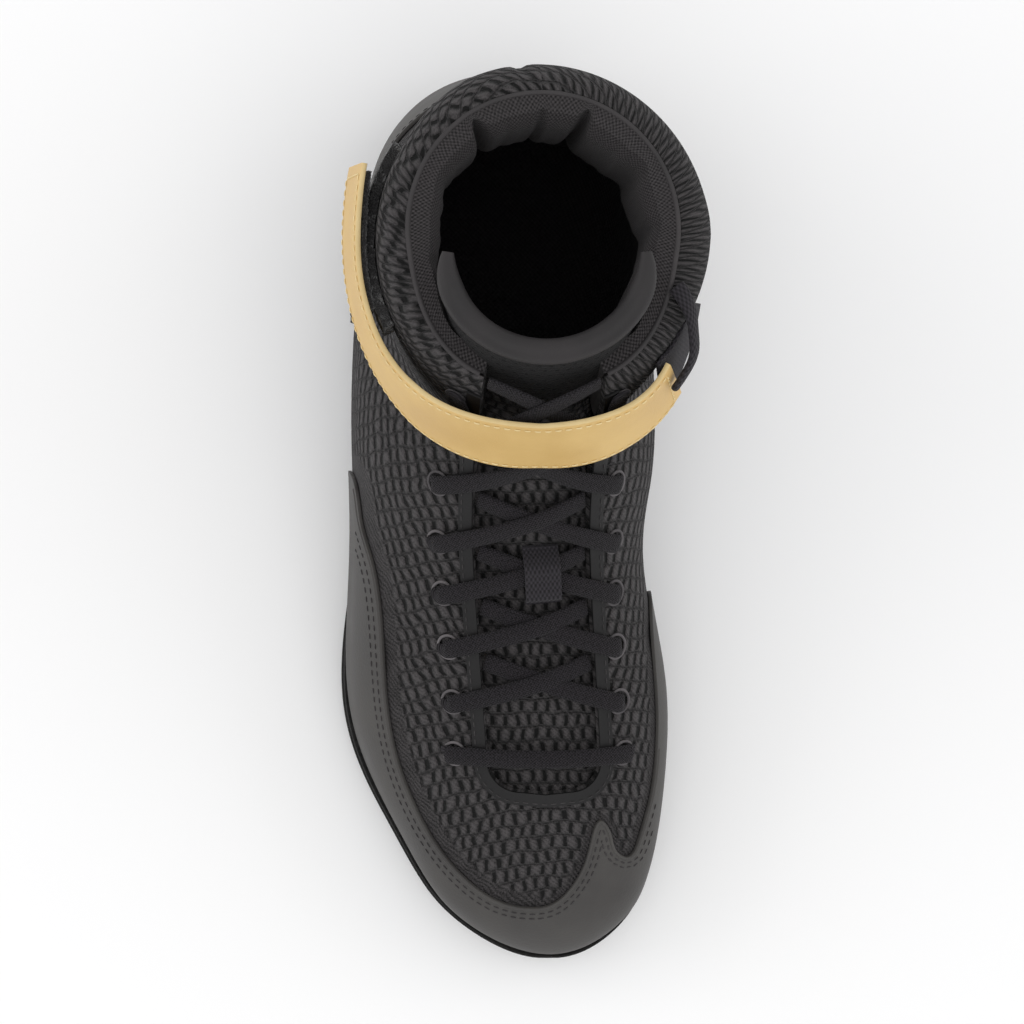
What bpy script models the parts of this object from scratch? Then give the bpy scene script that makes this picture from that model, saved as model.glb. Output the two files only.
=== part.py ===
"""Wrestling shoe for the right foot, empty and standing on its sole.

Metres, +Z up, toe towards -Y, the inner (medial) side of the foot towards +X.
One skin function gives the form of the last. Every piece that lies on the
shoe takes its place and its thickness from that function.
"""
import math

import bmesh
import bpy
import numpy as np

for old in list(bpy.data.objects):
    bpy.data.objects.remove(old, do_unlink=True)

# Overall sizes, in metres
UPPER_LENGTH = 0.2766
BALL_WIDTH = 0.0954
COLLAR_HEIGHT = 0.1600

# Thicknesses and clearances
UPPER_WALL = 0.0022
FIT = 0.0003
INSOLE_THICK = 0.0042
RAND_THICK = 0.0010
COUNTER_THICK = 0.0010
BINDING_THICK = 0.0008
BINDING_WIDTH = 0.0044
TONGUE_THICK = 0.0030
TONGUE_GAP = 0.0009
TONGUE_CURL = 0.0115
TONGUE_SET = 0.0026
TONGUE_RIM_RADIUS = 0.0034
COLLAR_PAD = 0.0155
COLLAR_ROLL = 0.0080
SEAM_GAP = 0.0008

# Outsole
RIM_OUT = 0.0042
RIM_HEIGHT = 0.0130
RIM_STEP = 0.0007
RIM_INSET = 0.0032
TOE_GRIP = 0.0030
BED_LIP = 0.0018
BED_INSET = 0.0010
GRIP_DEPTH = 0.0040
BLOCK_SPARE = 0.0200
TOE_SPRING = 0.0090
ARCH_RISE = 0.0020
HEEL_BEVEL = 0.0022
GROOVE_DEPTH = 0.0015
GROOVE_WIDTH = 0.0026

# Throat, laces and straps
THROAT_WIDTH = 0.0354
THROAT_CORNER = 0.0100
THROAT_BOW = 0.0008
THROAT_STEP = 0.0040
LACE_TUCK = 0.0016
LACE_SWING = 0.0160
LACE_DIP = 0.0010
EYELET_SPREAD = 0.0262
MEDIAL_EYELET_INSET = 0.0022
LACE_WIDTH = 0.0056
LACE_THICK = 0.0012
LACE_STEPS = 8
STRAP_WIDTH = 0.0320
STRAP_THICK = 0.0018
HOOK_THICK = 0.0016
LOOP_THICK = 0.0030
ANCHOR_THICK = 0.0016
ANCHOR_GAP = 0.0026
KEEPER_WIDTH = 0.0110
KEEPER_HALF = 0.0081
KEEPER_THICK = 0.0009
KEEPER_SIDE = 0.0028
ELASTIC_WIDTH = 0.0048
ELASTIC_THICK = 0.0013

# The last, one row for each section from toe to collar. A section is a plane
# from a low point (under or behind the foot) to a high point (on the instep).
# station: place along the row of sections
# low_y, high_y: shares of UPPER_LENGTH; low_z, high_z: shares of COLLAR_HEIGHT
# low_x, high_x, lateral, medial: shares of BALL_WIDTH
# widest: where the section is widest, as a share of the way up it
# low_square, high_square: 2 is an ellipse, more is squarer
COLUMNS = ("station", "low_y", "low_z", "high_y", "high_z", "low_x", "high_x",
           "lateral", "medial", "widest", "low_square", "high_square")
LAST = (
    (0.00, -0.499, 0.131, -0.499, 0.131, 0.143, 0.143, 0.000, 0.000, 0.45, 2.6, 2.2),
    (0.22, -0.457, 0.066, -0.457, 0.241, 0.123, 0.126, 0.274, 0.259, 0.40, 3.5, 2.2),
    (0.38, -0.414, 0.050, -0.414, 0.281, 0.094, 0.121, 0.363, 0.346, 0.38, 4.5, 2.2),
    (0.53, -0.367, 0.039, -0.367, 0.319, 0.066, 0.115, 0.417, 0.398, 0.36, 5.2, 2.15),
    (0.78, -0.278, 0.031, -0.278, 0.378, 0.021, 0.101, 0.503, 0.459, 0.34, 5.8, 2.1),
    (1.06, -0.174, 0.031, -0.177, 0.444, -0.019, 0.078, 0.527, 0.482, 0.34, 5.6, 2.1),
    (1.36, -0.029, 0.038, -0.065, 0.525, -0.042, 0.052, 0.498, 0.435, 0.40, 4.8, 2.1),
    (1.68, 0.127, 0.041, -0.004, 0.591, -0.042, 0.042, 0.508, 0.456, 0.46, 4.0, 2.1),
    (2.00, 0.307, 0.034, 0.034, 0.644, -0.031, 0.042, 0.508, 0.456, 0.46, 3.4, 2.1),
    (2.24, 0.445, 0.038, 0.056, 0.688, -0.025, 0.044, 0.482, 0.440, 0.44, 2.8, 2.1),
    (2.34, 0.484, 0.078, 0.065, 0.713, -0.025, 0.045, 0.466, 0.435, 0.44, 2.5, 2.1),
    (2.48, 0.501, 0.200, 0.074, 0.741, -0.023, 0.046, 0.461, 0.440, 0.45, 2.2, 2.1),
    (2.64, 0.495, 0.363, 0.083, 0.775, -0.013, 0.048, 0.466, 0.456, 0.46, 2.1, 2.1),
    (2.84, 0.477, 0.550, 0.094, 0.828, 0.006, 0.049, 0.478, 0.472, 0.48, 2.0, 2.1),
    (3.05, 0.466, 0.738, 0.108, 0.891, 0.029, 0.050, 0.491, 0.486, 0.50, 2.0, 2.05),
    (3.26, 0.472, 0.913, 0.128, 0.956, 0.048, 0.050, 0.493, 0.493, 0.50, 2.0, 2.0),
    (3.50, 0.477, 1.063, 0.163, 1.075, 0.058, 0.052, 0.493, 0.493, 0.50, 2.0, 2.0),
)
UNITS = {
    "low_y": UPPER_LENGTH, "high_y": UPPER_LENGTH,
    "low_z": COLLAR_HEIGHT, "high_z": COLLAR_HEIGHT,
    "low_x": BALL_WIDTH, "high_x": BALL_WIDTH,
    "lateral": BALL_WIDTH, "medial": BALL_WIDTH,
}
COLLAR_STATION = 3.26
ROLL_STATION = 3.15

# Ends of the throat as shares of UPPER_LENGTH
THROAT_FRONT = -0.306
THROAT_BACK = 0.210

# Angles round the sections, in radians, and shares of the collar's thickness
TONGUE_FRONT_TURN = 0.56
TONGUE_TOP_TURN = 1.08
PAD_FRONT_TURN = 0.38
PAD_FRONT_SHARE = 0.26
PAD_RAMP = 0.38
PAD_DEPTH = 0.56


def tangent_table(stations, values):
    """Second derivatives of a smooth cubic curve through each column."""
    count = len(stations)
    steps = np.diff(stations)
    matrix = np.zeros((count, count))
    right = np.zeros_like(values)
    matrix[0, 0] = 1.0
    matrix[-1, -1] = 1.0
    for i in range(1, count - 1):
        matrix[i, i - 1] = steps[i - 1]
        matrix[i, i] = 2.0 * (steps[i - 1] + steps[i])
        matrix[i, i + 1] = steps[i]
        rise = (values[i + 1] - values[i]) / steps[i]
        fall = (values[i] - values[i - 1]) / steps[i - 1]
        right[i] = 6.0 * (rise - fall)
    return np.linalg.solve(matrix, right)


def mirrored_rows(table):
    """Add two rows before the toe so that the form is round through its tip."""
    before = []
    for i in (2, 1):
        row = table[i].copy()
        row[0] = -table[i][0]
        row[2] = table[i][4]
        row[4] = table[i][2]
        row[5] = table[i][6]
        row[6] = table[i][5]
        row[7] = -table[i][7]
        row[8] = -table[i][8]
        before.append(row)
    return np.vstack([before, table])


TABLE = mirrored_rows(np.array(LAST))
TABLE_BEND = tangent_table(TABLE[:, 0], TABLE[:, 1:])


def section(station):
    """All columns of the last at the given stations, in metres."""
    at = np.asarray(station, dtype=float)
    flat = at.reshape(-1)
    x = TABLE[:, 0]
    y = TABLE[:, 1:]
    i = np.clip(np.searchsorted(x, flat, side="right") - 1, 0, len(x) - 2)
    step = (x[i + 1] - x[i])[:, None]
    t = (flat - x[i])[:, None]
    a = TABLE_BEND[i]
    b = TABLE_BEND[i + 1]
    value = (a * (step - t) ** 3 + b * t ** 3) / (6.0 * step)
    value += (y[i] / step - a * step / 6.0) * (step - t)
    value += (y[i + 1] / step - b * step / 6.0) * t
    out = {}
    for k, name in enumerate(COLUMNS[1:]):
        out[name] = (value[:, k] * UNITS.get(name, 1.0)).reshape(at.shape)
    return out


def last_point(station, around):
    """Point of the last. around is 0 on the instep line, + on the medial side,
    and pi under the sole or behind the heel."""
    station, around = np.broadcast_arrays(np.asarray(station, float), np.asarray(around, float))
    row = section(station)
    down = -np.cos(around)
    side = np.abs(np.sin(around))
    square = np.where(down > 0.0, row["low_square"], row["high_square"])
    reach = np.abs(down) ** (2.0 / square)
    widest = row["widest"]
    up = np.where(down > 0.0, widest * (1.0 - reach), widest + (1.0 - widest) * reach)
    half = np.where(np.sin(around) >= 0.0, row["medial"], -row["lateral"])
    x = row["low_x"] + (row["high_x"] - row["low_x"]) * up + half * side ** (2.0 / square)
    y = row["low_y"] + (row["high_y"] - row["low_y"]) * up
    z = row["low_z"] + (row["high_z"] - row["low_z"]) * up
    return np.stack([x, y, z], axis=-1)


def last_normal(station, around):
    station = np.maximum(np.asarray(station, float), 0.01)
    around = np.asarray(around, float)
    along = last_point(station + 0.001, around) - last_point(station - 0.001, around)
    across = last_point(station, around + 0.02) - last_point(station, around - 0.02)
    normal = np.cross(across, along)
    size = np.maximum(np.linalg.norm(normal, axis=-1, keepdims=True), 1e-12)
    return normal / size


def skin(station, around, offset=0.0):
    """Point at a distance outside (+) or inside (-) the last."""
    offset = np.asarray(offset, float)
    return last_point(station, around) + offset[..., None] * last_normal(station, around)


def tip(offset):
    """The foremost point of the toe at an offset."""
    point = last_point(0.0, 0.0)
    return point + np.array([0.0, -offset, 0.0])


# Sole profile along the shoe, shares of UPPER_LENGTH
TOE_BREAK = -0.330
ARCH_FRONT = -0.080
ARCH_BACK = 0.190
HEEL_BREAK = 0.440
SOLE_TOE = -0.515
SOLE_HEEL = 0.505


def ground(y):
    """Height of the sole's underside above the floor at y."""
    share = np.asarray(y, float) / UPPER_LENGTH
    toe = np.clip((TOE_BREAK - share) / (TOE_BREAK - SOLE_TOE), 0.0, 1.2)
    arch = np.clip((share - ARCH_FRONT) / (ARCH_BACK - ARCH_FRONT), 0.0, 1.0)
    heel = np.clip((share - HEEL_BREAK) / (SOLE_HEEL - HEEL_BREAK), 0.0, 1.2)
    rise = TOE_SPRING * toe ** 1.7
    rise = rise + ARCH_RISE * np.sin(math.pi * arch) ** 2
    return rise + HEEL_BEVEL * heel ** 2


LINE_STATIONS = np.linspace(0.0, 2.5, 600)
LINE_LOW = last_point(LINE_STATIONS, math.pi)
LINE_HIGH_STATIONS = np.linspace(0.2, 3.5, 500)
LINE_HIGH = last_point(LINE_HIGH_STATIONS, 0.0)


def bed(y):
    """Height of the bottom of the last at y."""
    return np.interp(y, LINE_LOW[:, 1], LINE_LOW[:, 2])


def centre_x(y):
    """The x of the instep line at y."""
    return np.interp(y, LINE_HIGH[:, 1], LINE_HIGH[:, 0])


def resample(points, count):
    """Even spacing round a closed plan line."""
    loop = np.vstack([points, points[:1]])
    steps = np.linalg.norm(np.diff(loop, axis=0), axis=1)
    walk = np.concatenate([[0.0], np.cumsum(steps)])
    at = np.linspace(0.0, walk[-1], count, endpoint=False)
    return np.stack([np.interp(at, walk, loop[:, k]) for k in range(loop.shape[1])], axis=-1)


def outset(points, distance):
    """Move a closed plan line (counter-clockwise) outwards."""
    after = np.roll(points, -1, axis=0)
    before = np.roll(points, 1, axis=0)
    along = after - before
    along /= np.maximum(np.linalg.norm(along, axis=1, keepdims=True), 1e-12)
    return points + distance * np.stack([along[:, 1], -along[:, 0]], axis=-1)


def contour(offset, base, level, count):
    """Plan line where the skin at this offset stands level above base(y)."""
    stations = 0.02 + 2.58 * (0.5 - 0.5 * np.cos(np.linspace(0.0, math.pi, 420)))
    turns = np.linspace(0.02, 0.5 * math.pi, 300)
    sides = []
    for sign in (1.0, -1.0):
        around = sign * (math.pi - turns)
        points = skin(stations[:, None], around[None, :], np.full((420, 300), offset))
        height = points[..., 2] - base(points[..., 1]) - level
        line = []
        for i in range(len(stations)):
            if height[i, 0] >= 0.0:
                continue
            j = int(np.argmax(height[i] > 0.0))
            if j == 0:
                continue
            t = height[i, j - 1] / (height[i, j - 1] - height[i, j])
            line.append(points[i, j - 1] * (1.0 - t) + points[i, j] * t)
        sides.append(np.array(line)[:, :2])
    loop = np.vstack([sides[0], sides[1][::-1]])
    toe = int(np.argmin(loop[:, 1]))
    return resample(np.roll(loop, -toe, axis=0), count)


def add_body(name, points, faces):
    """One closed mesh object from points and faces, facing out."""
    mesh = bpy.data.meshes.new(name)
    mesh.from_pydata([tuple(p) for p in points], [], faces)
    work = bmesh.new()
    work.from_mesh(mesh)
    bmesh.ops.remove_doubles(work, verts=work.verts, dist=0.00001)
    bmesh.ops.triangulate(work, faces=work.faces, quad_method="SHORT_EDGE")
    bmesh.ops.recalc_face_normals(work, faces=work.faces)
    if work.calc_volume(signed=True) < 0.0:
        bmesh.ops.reverse_faces(work, faces=work.faces)
    work.to_mesh(mesh)
    work.free()
    body = bpy.data.objects.new(name, mesh)
    bpy.context.scene.collection.objects.link(body)
    return body


def grid_faces(rows, columns, start, wrap):
    faces = []
    last = columns if wrap else columns - 1
    for i in range(rows - 1):
        for j in range(last):
            k = (j + 1) % columns
            a = start + i * columns
            b = start + (i + 1) * columns
            faces.append((a + j, a + k, b + k, b + j))
    return faces


def sheet_body(name, near, far):
    """A sheet between two point grids of the same size."""
    rows, columns = near.shape[:2]
    size = rows * columns
    points = np.vstack([near.reshape(-1, 3), far.reshape(-1, 3)])
    faces = grid_faces(rows, columns, 0, False) + grid_faces(rows, columns, size, False)
    edge = [j for j in range(columns)]
    edge += [i * columns + columns - 1 for i in range(1, rows)]
    edge += [(rows - 1) * columns + j for j in range(columns - 2, -1, -1)]
    edge += [i * columns for i in range(rows - 2, 0, -1)]
    for k in range(len(edge)):
        a = edge[k]
        b = edge[(k + 1) % len(edge)]
        faces.append((a, b, b + size, a + size))
    return add_body(name, points, faces)


def skin_patch(name, stations, turns, inner, outer):
    """A sheet that follows the skin between two offsets."""
    rows, columns = np.meshgrid(np.array(stations), np.array(turns), indexing="ij")
    return sheet_body(
        name,
        skin(rows, columns, np.full(rows.shape, inner)),
        skin(rows, columns, np.full(rows.shape, outer)),
    )


def prism_body(name, outline, low, high):
    """A straight block over a plan outline."""
    flat = np.zeros(len(outline))
    rings = [np.column_stack([outline, flat + low]), np.column_stack([outline, flat + high])]
    return tube_body(name, np.array(rings))


def tube_body(name, rings):
    """A closed tube through rings of points, with flat ends."""
    rows, columns = rings.shape[:2]
    points = rings.reshape(-1, 3)
    faces = grid_faces(rows, columns, 0, True)
    faces.append(tuple(range(columns)))
    faces.append(tuple((rows - 1) * columns + j for j in range(columns)))
    return add_body(name, points, faces)


def collar_swell(around):
    """How thick the collar is at an angle, from its thin front ends to 1 at the sides and back."""
    share = np.abs(np.mod(around, 2.0 * math.pi) - math.pi) / (math.pi - PAD_FRONT_TURN)
    swell = np.clip((1.0 - share) / PAD_RAMP, 0.0, 1.0)
    return PAD_FRONT_SHARE + (1.0 - PAD_FRONT_SHARE) * swell * swell * (3.0 - 2.0 * swell)


def rolled(station, around, depth=0.0):
    """The skin with the collar's top rolled inwards, at a depth below that face."""
    station, around = np.broadcast_arrays(np.asarray(station, float), np.asarray(around, float))

    def face(at, turn):
        way = np.clip((at - ROLL_STATION) / (COLLAR_STATION - ROLL_STATION), 0.0, 1.0)
        return skin(at, turn, -COLLAR_ROLL * collar_swell(turn) * (1.0 - np.sqrt(1.0 - way ** 2)))

    at = np.clip(station, 0.01, COLLAR_STATION - 0.003)
    along = face(at + 0.0005, around) - face(at - 0.0005, around)
    across = face(at, around + 0.02) - face(at, around - 0.02)
    normal = np.cross(across, along)
    normal /= np.maximum(np.linalg.norm(normal, axis=-1, keepdims=True), 1e-12)
    return face(station, around) - depth * normal


def toe_shell(name, stations, turns, outer, inner):
    """A hollow shell from the toe's tip back to an open last ring."""
    rows = len(stations)
    columns = len(turns)
    far = rolled(stations[:, None], turns[None, :], -outer).reshape(-1, 3)
    near = rolled(stations[:, None], turns[None, :], -inner).reshape(-1, 3)
    size = rows * columns
    points = np.vstack([far, near, tip(outer)[None, :], tip(inner)[None, :]])
    faces = grid_faces(rows, columns, 0, True) + grid_faces(rows, columns, size, True)
    for j in range(columns):
        k = (j + 1) % columns
        faces.append((2 * size, j, k))
        faces.append((2 * size + 1, size + j, size + k))
        a = (rows - 1) * columns
        faces.append((a + j, a + k, a + k + size, a + j + size))
    return add_body(name, points, faces)


def toe_block(name, stations, turns, outer):
    """The solid inside the skin, from the tip to the last station."""
    rows = len(stations)
    columns = len(turns)
    far = skin(stations[:, None], turns[None, :], np.full((rows, columns), outer)).reshape(-1, 3)
    size = rows * columns
    end = far[-columns:].mean(axis=0)
    points = np.vstack([far, tip(outer)[None, :], end[None, :]])
    faces = grid_faces(rows, columns, 0, True)
    for j in range(columns):
        k = (j + 1) % columns
        faces.append((size, j, k))
        a = (rows - 1) * columns
        faces.append((size + 1, a + j, a + k))
    return add_body(name, points, faces)


def plan_block(name, loops, heights):
    """A block from closed plan lines, each with its own height function."""
    columns = len(loops[0])
    points = []
    for loop, height in zip(loops, heights):
        points.append(np.column_stack([loop, height(loop[:, 1])]))
    points = np.array(points)
    faces = grid_faces(len(loops), columns, 0, True)
    top = (len(loops) - 1) * columns
    for start in (0, top):
        faces.append((start, start + 1, start + columns - 1))
        for i in range(1, columns // 2 - 1):
            faces.append((start + i, start + i + 1, start + columns - i - 1, start + columns - i))
        middle = columns // 2
        faces.append((start + middle - 1, start + middle, start + middle + 1))
    return add_body(name, points.reshape(-1, 3), faces)


def cut(body, cutter, operation="DIFFERENCE"):
    cutter.hide_render = True
    cutter.display_type = "WIRE"
    step = body.modifiers.new(cutter.name, "BOOLEAN")
    step.operation = operation
    step.solver = "EXACT"
    step.object = cutter


def finish(body, colour, roughness, metallic=0.0):
    material = bpy.data.materials.new(body.name)
    material.use_nodes = True
    shader = material.node_tree.nodes["Principled BSDF"]
    shader.inputs["Base Color"].default_value = (*colour, 1.0)
    shader.inputs["Roughness"].default_value = roughness
    shader.inputs["Metallic"].default_value = metallic
    body.data.materials.append(material)


def instep_place(x, y):
    """Station and angle of the point of the instep above plan point x, y."""
    x = np.asarray(x, float)
    y = np.asarray(y, float)
    station = np.interp(y, LINE_HIGH[:, 1], LINE_HIGH_STATIONS)
    half = 0.5 * BALL_WIDTH
    around = np.arcsin(np.clip((x - centre_x(y)) / half, -0.9, 0.9))
    for _ in range(14):
        here = last_point(station, around)
        ds = (last_point(station + 0.002, around) - here) / 0.002
        da = (last_point(station, around + 0.002) - here) / 0.002
        ex = x - here[..., 0]
        ey = y - here[..., 1]
        det = ds[..., 0] * da[..., 1] - ds[..., 1] * da[..., 0]
        det = np.where(np.abs(det) < 1e-9, 1e-9, det)
        step_s = (ex * da[..., 1] - ey * da[..., 0]) / det
        step_a = (ds[..., 0] * ey - ds[..., 1] * ex) / det
        station = np.clip(station + np.clip(step_s, -0.15, 0.15), 0.1, 3.45)
        around = around + np.clip(step_a, -0.15, 0.15)
    return station, around


def on_instep(x, y, offset):
    station, around = instep_place(x, y)
    return skin(station, around, np.broadcast_to(offset, station.shape))


# Outsole: block to the rim, hollowed by the upper's own form
RING_STATIONS = np.array([0.05, 0.13, 0.25, 0.40, 0.58, 0.79, 1.00, 1.20, 1.40, 1.62, 1.84, 2.04, 2.18,
                          2.29, 2.40, 2.54, 2.72, 2.90, 3.08, ROLL_STATION, 3.215, 3.250, COLLAR_STATION])
RING_TURNS = np.linspace(-math.pi, math.pi, 32, endpoint=False)
LOW_STATIONS = RING_STATIONS[RING_STATIONS < 2.7]

rim_line = contour(0.0, ground, 0.77 * RIM_HEIGHT, 44)


def at_height(level):
    def height(y):
        return ground(y) + level
    return height


outsole = plan_block(
    "outsole",
    [
        outset(rim_line, RIM_OUT - RIM_INSET),
        outset(rim_line, RIM_OUT - 0.25 * RIM_INSET),
        outset(rim_line, RIM_OUT),
        outset(rim_line, RIM_OUT),
        outset(rim_line, RIM_OUT - RIM_STEP),
        outset(rim_line, RIM_OUT - 1.4 * RIM_STEP),
    ],
    [
        at_height(0.0),
        at_height(0.11 * RIM_HEIGHT),
        at_height(0.26 * RIM_HEIGHT),
        at_height(0.55 * RIM_HEIGHT),
        at_height(0.60 * RIM_HEIGHT),
        at_height(RIM_HEIGHT),
    ],
)
foot_form = toe_block("foot_form_cutter", LOW_STATIONS, RING_TURNS, FIT)
cut(outsole, foot_form)

# Grooves across the sole leave the main lugs. Shares of UPPER_LENGTH, and a
# turn in radians that follows the ball's flex line.
GROOVES = (
    (-0.375, 0.16), (-0.310, 0.16), (-0.245, 0.14), (-0.180, 0.12), (-0.115, 0.10),
    (0.235, 0.0), (0.300, 0.0), (0.365, 0.0),
)
groove_points = []
groove_faces = []
for share, turn in GROOVES:
    y = share * UPPER_LENGTH
    reach = 0.9 * BALL_WIDTH
    run = np.array([math.cos(turn), math.sin(turn)])
    cross = np.array([-run[1], run[0]])
    base = len(groove_points)
    low = float(ground(y)) - GRIP_DEPTH
    high = float(ground(y)) + GROOVE_DEPTH
    for z in (low, high):
        for a, b in ((-1, -1), (1, -1), (1, 1), (-1, 1)):
            spot = np.array([0.0, y]) + a * reach * run + b * 0.5 * GROOVE_WIDTH * cross
            groove_points.append((spot[0], spot[1], z))
    quads = ((0, 1, 2, 3), (4, 5, 6, 7), (0, 1, 5, 4), (1, 2, 6, 5), (2, 3, 7, 6), (3, 0, 4, 7))
    groove_faces += [tuple(base + k for k in quad) for quad in quads]
grooves = add_body("groove_cutter", groove_points, groove_faces)
cut(outsole, grooves)

# Upper: one hollow shell, open at the collar, the throat and underneath
upper = toe_shell("upper", RING_STATIONS, RING_TURNS, 0.0, -UPPER_WALL)

bed_line = contour(-UPPER_WALL, bed, UPPER_WALL + BED_LIP, 32)
under_line = outset(bed_line, -BED_INSET)
under_cutter = plan_block(
    "under_cutter",
    [under_line, under_line],
    [lambda y: bed(y) - BLOCK_SPARE, lambda y: bed(y) + UPPER_WALL + BED_LIP + BED_INSET],
)
cut(upper, under_cutter)

throat_y = np.array([THROAT_FRONT, -0.24, -0.16, -0.08, 0.0, 0.06, 0.12, THROAT_BACK]) * UPPER_LENGTH


def throat_line(half, front, corner):
    """Plan line of the throat: lateral edge, rounded front, medial edge."""
    line = []
    centre_y = front + corner
    stops = throat_y[throat_y > centre_y + THROAT_STEP]
    for y in stops[::-1]:
        line.append((float(centre_x(y)) - half, y))
    middle = float(centre_x(centre_y))
    for k in range(7):
        turn = 0.5 * math.pi * k / 6.0
        line.append((middle - half + corner - corner * math.cos(turn), centre_y - corner * math.sin(turn)))
    line.append((middle, front - THROAT_BOW))
    for k in range(6, -1, -1):
        turn = 0.5 * math.pi * k / 6.0
        line.append((middle + half - corner + corner * math.cos(turn), centre_y - corner * math.sin(turn)))
    for y in stops:
        line.append((float(centre_x(y)) + half, y))
    return np.array(line)


throat_edge = throat_line(0.5 * THROAT_WIDTH, THROAT_FRONT * UPPER_LENGTH, THROAT_CORNER)
throat_cutter = prism_body("throat_cutter", throat_edge, 0.2 * COLLAR_HEIGHT, 1.4 * COLLAR_HEIGHT)
cut(upper, throat_cutter)

# Insole, through the opening under the upper and level with its lip
insole_line = outset(under_line, -FIT)
insole = plan_block(
    "insole",
    [insole_line, insole_line],
    [lambda y: bed(y) - GRIP_DEPTH, lambda y: bed(y) + INSOLE_THICK],
)
sock_form = toe_block("sock_form_cutter", LOW_STATIONS, RING_TURNS, 0.0)
cut(insole, sock_form, "INTERSECT")

# Rand of smooth leather round the forefoot, over the upper and above the rim.
# Plan line of its upper edge: shares of BALL_WIDTH across, of UPPER_LENGTH along.
RAND_EDGE = (
    (-0.700, 0.300), (-0.700, 0.080), (-0.560, 0.072), (-0.521, 0.056), (-0.484, -0.001),
    (-0.449, -0.046), (-0.415, -0.137), (-0.381, -0.250), (-0.299, -0.331), (-0.198, -0.387),
    (-0.115, -0.416), (-0.035, -0.433), (0.060, -0.440), (0.130, -0.437), (0.211, -0.409),
    (0.254, -0.368), (0.290, -0.338), (0.318, -0.350), (0.345, -0.376), (0.380, -0.383),
    (0.420, -0.360), (0.452, -0.320), (0.469, -0.205), (0.450, -0.125), (0.455, -0.060),
    (0.480, -0.020), (0.560, 0.030), (0.700, 0.040), (0.700, 0.300),
)
rand = toe_shell("rand", RING_STATIONS[RING_STATIONS < 1.7], RING_TURNS, FIT + RAND_THICK, FIT)
rand_plan = np.array(RAND_EDGE) * np.array([BALL_WIDTH, UPPER_LENGTH])
rand_cutter = prism_body("rand_cutter", rand_plan, -BLOCK_SPARE, COLLAR_HEIGHT)
cut(rand, rand_cutter)
clear_line = outset(rim_line, RIM_OUT + TOE_GRIP)
rim_clear = plan_block(
    "rim_clear_cutter",
    [clear_line, clear_line],
    [at_height(-BLOCK_SPARE), at_height(RIM_HEIGHT + FIT)],
)
cut(rand, rim_clear)

# Heel counter over the back of the upper, between the rim and its own top line.
# Side outline of what is cut away: shares of UPPER_LENGTH and of COLLAR_HEIGHT.
COUNTER_EDGE = (
    (0.225, -0.20), (0.225, 0.20), (0.262, 0.290), (0.330, 0.400), (0.400, 0.510), (0.470, 0.575),
    (0.600, 0.580), (0.600, 1.40), (-0.200, 1.40), (-0.200, -0.20),
)
heel_turns = RING_TURNS[np.abs(RING_TURNS) > 1.30]
heel_turns = np.sort(np.mod(heel_turns, 2.0 * math.pi))
heel_counter = skin_patch("heel_counter", RING_STATIONS[(RING_STATIONS > 1.6) & (RING_STATIONS < 3.1)],
                          heel_turns, FIT, FIT + COUNTER_THICK)
counter_side = np.array(COUNTER_EDGE) * np.array([UPPER_LENGTH, COLLAR_HEIGHT])
across = np.zeros(len(counter_side))
counter_rings = []
for x in (-BALL_WIDTH, BALL_WIDTH):
    counter_rings.append(np.column_stack([across + x, counter_side]))
counter_cutter = tube_body("counter_cutter", np.array(counter_rings))
cut(heel_counter, counter_cutter)
cut(heel_counter, rim_clear)

# Flat binding round the throat, a strip of the skin between two plan lines
binding_turns = RING_TURNS[np.abs(RING_TURNS) < 1.10]
binding_stations = RING_STATIONS[(RING_STATIONS > 0.5) & (RING_STATIONS <= ROLL_STATION)]
throat_binding = skin_patch("throat_binding", binding_stations, binding_turns, FIT, FIT + BINDING_THICK)
bind_line = throat_line(0.5 * THROAT_WIDTH + BINDING_WIDTH,
                        THROAT_FRONT * UPPER_LENGTH - BINDING_WIDTH, THROAT_CORNER + BINDING_WIDTH)
binding_limit = prism_body("binding_limit_cutter", bind_line, 0.2 * COLLAR_HEIGHT, 1.4 * COLLAR_HEIGHT)
cut(throat_binding, binding_limit, "INTERSECT")
cut(throat_binding, throat_cutter)

# Tongue, under the throat and up behind the front of the collar
TONGUE_ROWS = np.append(RING_STATIONS[(RING_STATIONS > 0.5) & (RING_STATIONS < 3.1)],
                        [COLLAR_STATION, 3.33, 3.40])


def tongue_place(station, share, depth):
    """share runs from -1 (lateral edge) to 1; depth is below its outer face."""
    rise = np.clip((station - 1.9) / 1.3, 0.0, 1.0)
    rise = rise * rise * (3.0 - 2.0 * rise)
    turn = TONGUE_FRONT_TURN + (TONGUE_TOP_TURN - TONGUE_FRONT_TURN) * rise
    curl = (TONGUE_SET + TONGUE_CURL * np.abs(share) ** 2) * rise
    return skin(station, share * turn, -(UPPER_WALL + TONGUE_GAP + curl + depth))


shares = np.linspace(-1.0, 1.0, 9)
rows, columns = np.meshgrid(TONGUE_ROWS, shares, indexing="ij")
tongue = sheet_body(
    "tongue",
    tongue_place(rows, columns, np.zeros(rows.shape)),
    tongue_place(rows, columns, TONGUE_THICK * (1.0 + 0.4 * np.clip(rows - 2.2, 0.0, 1.0))),
)

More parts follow.
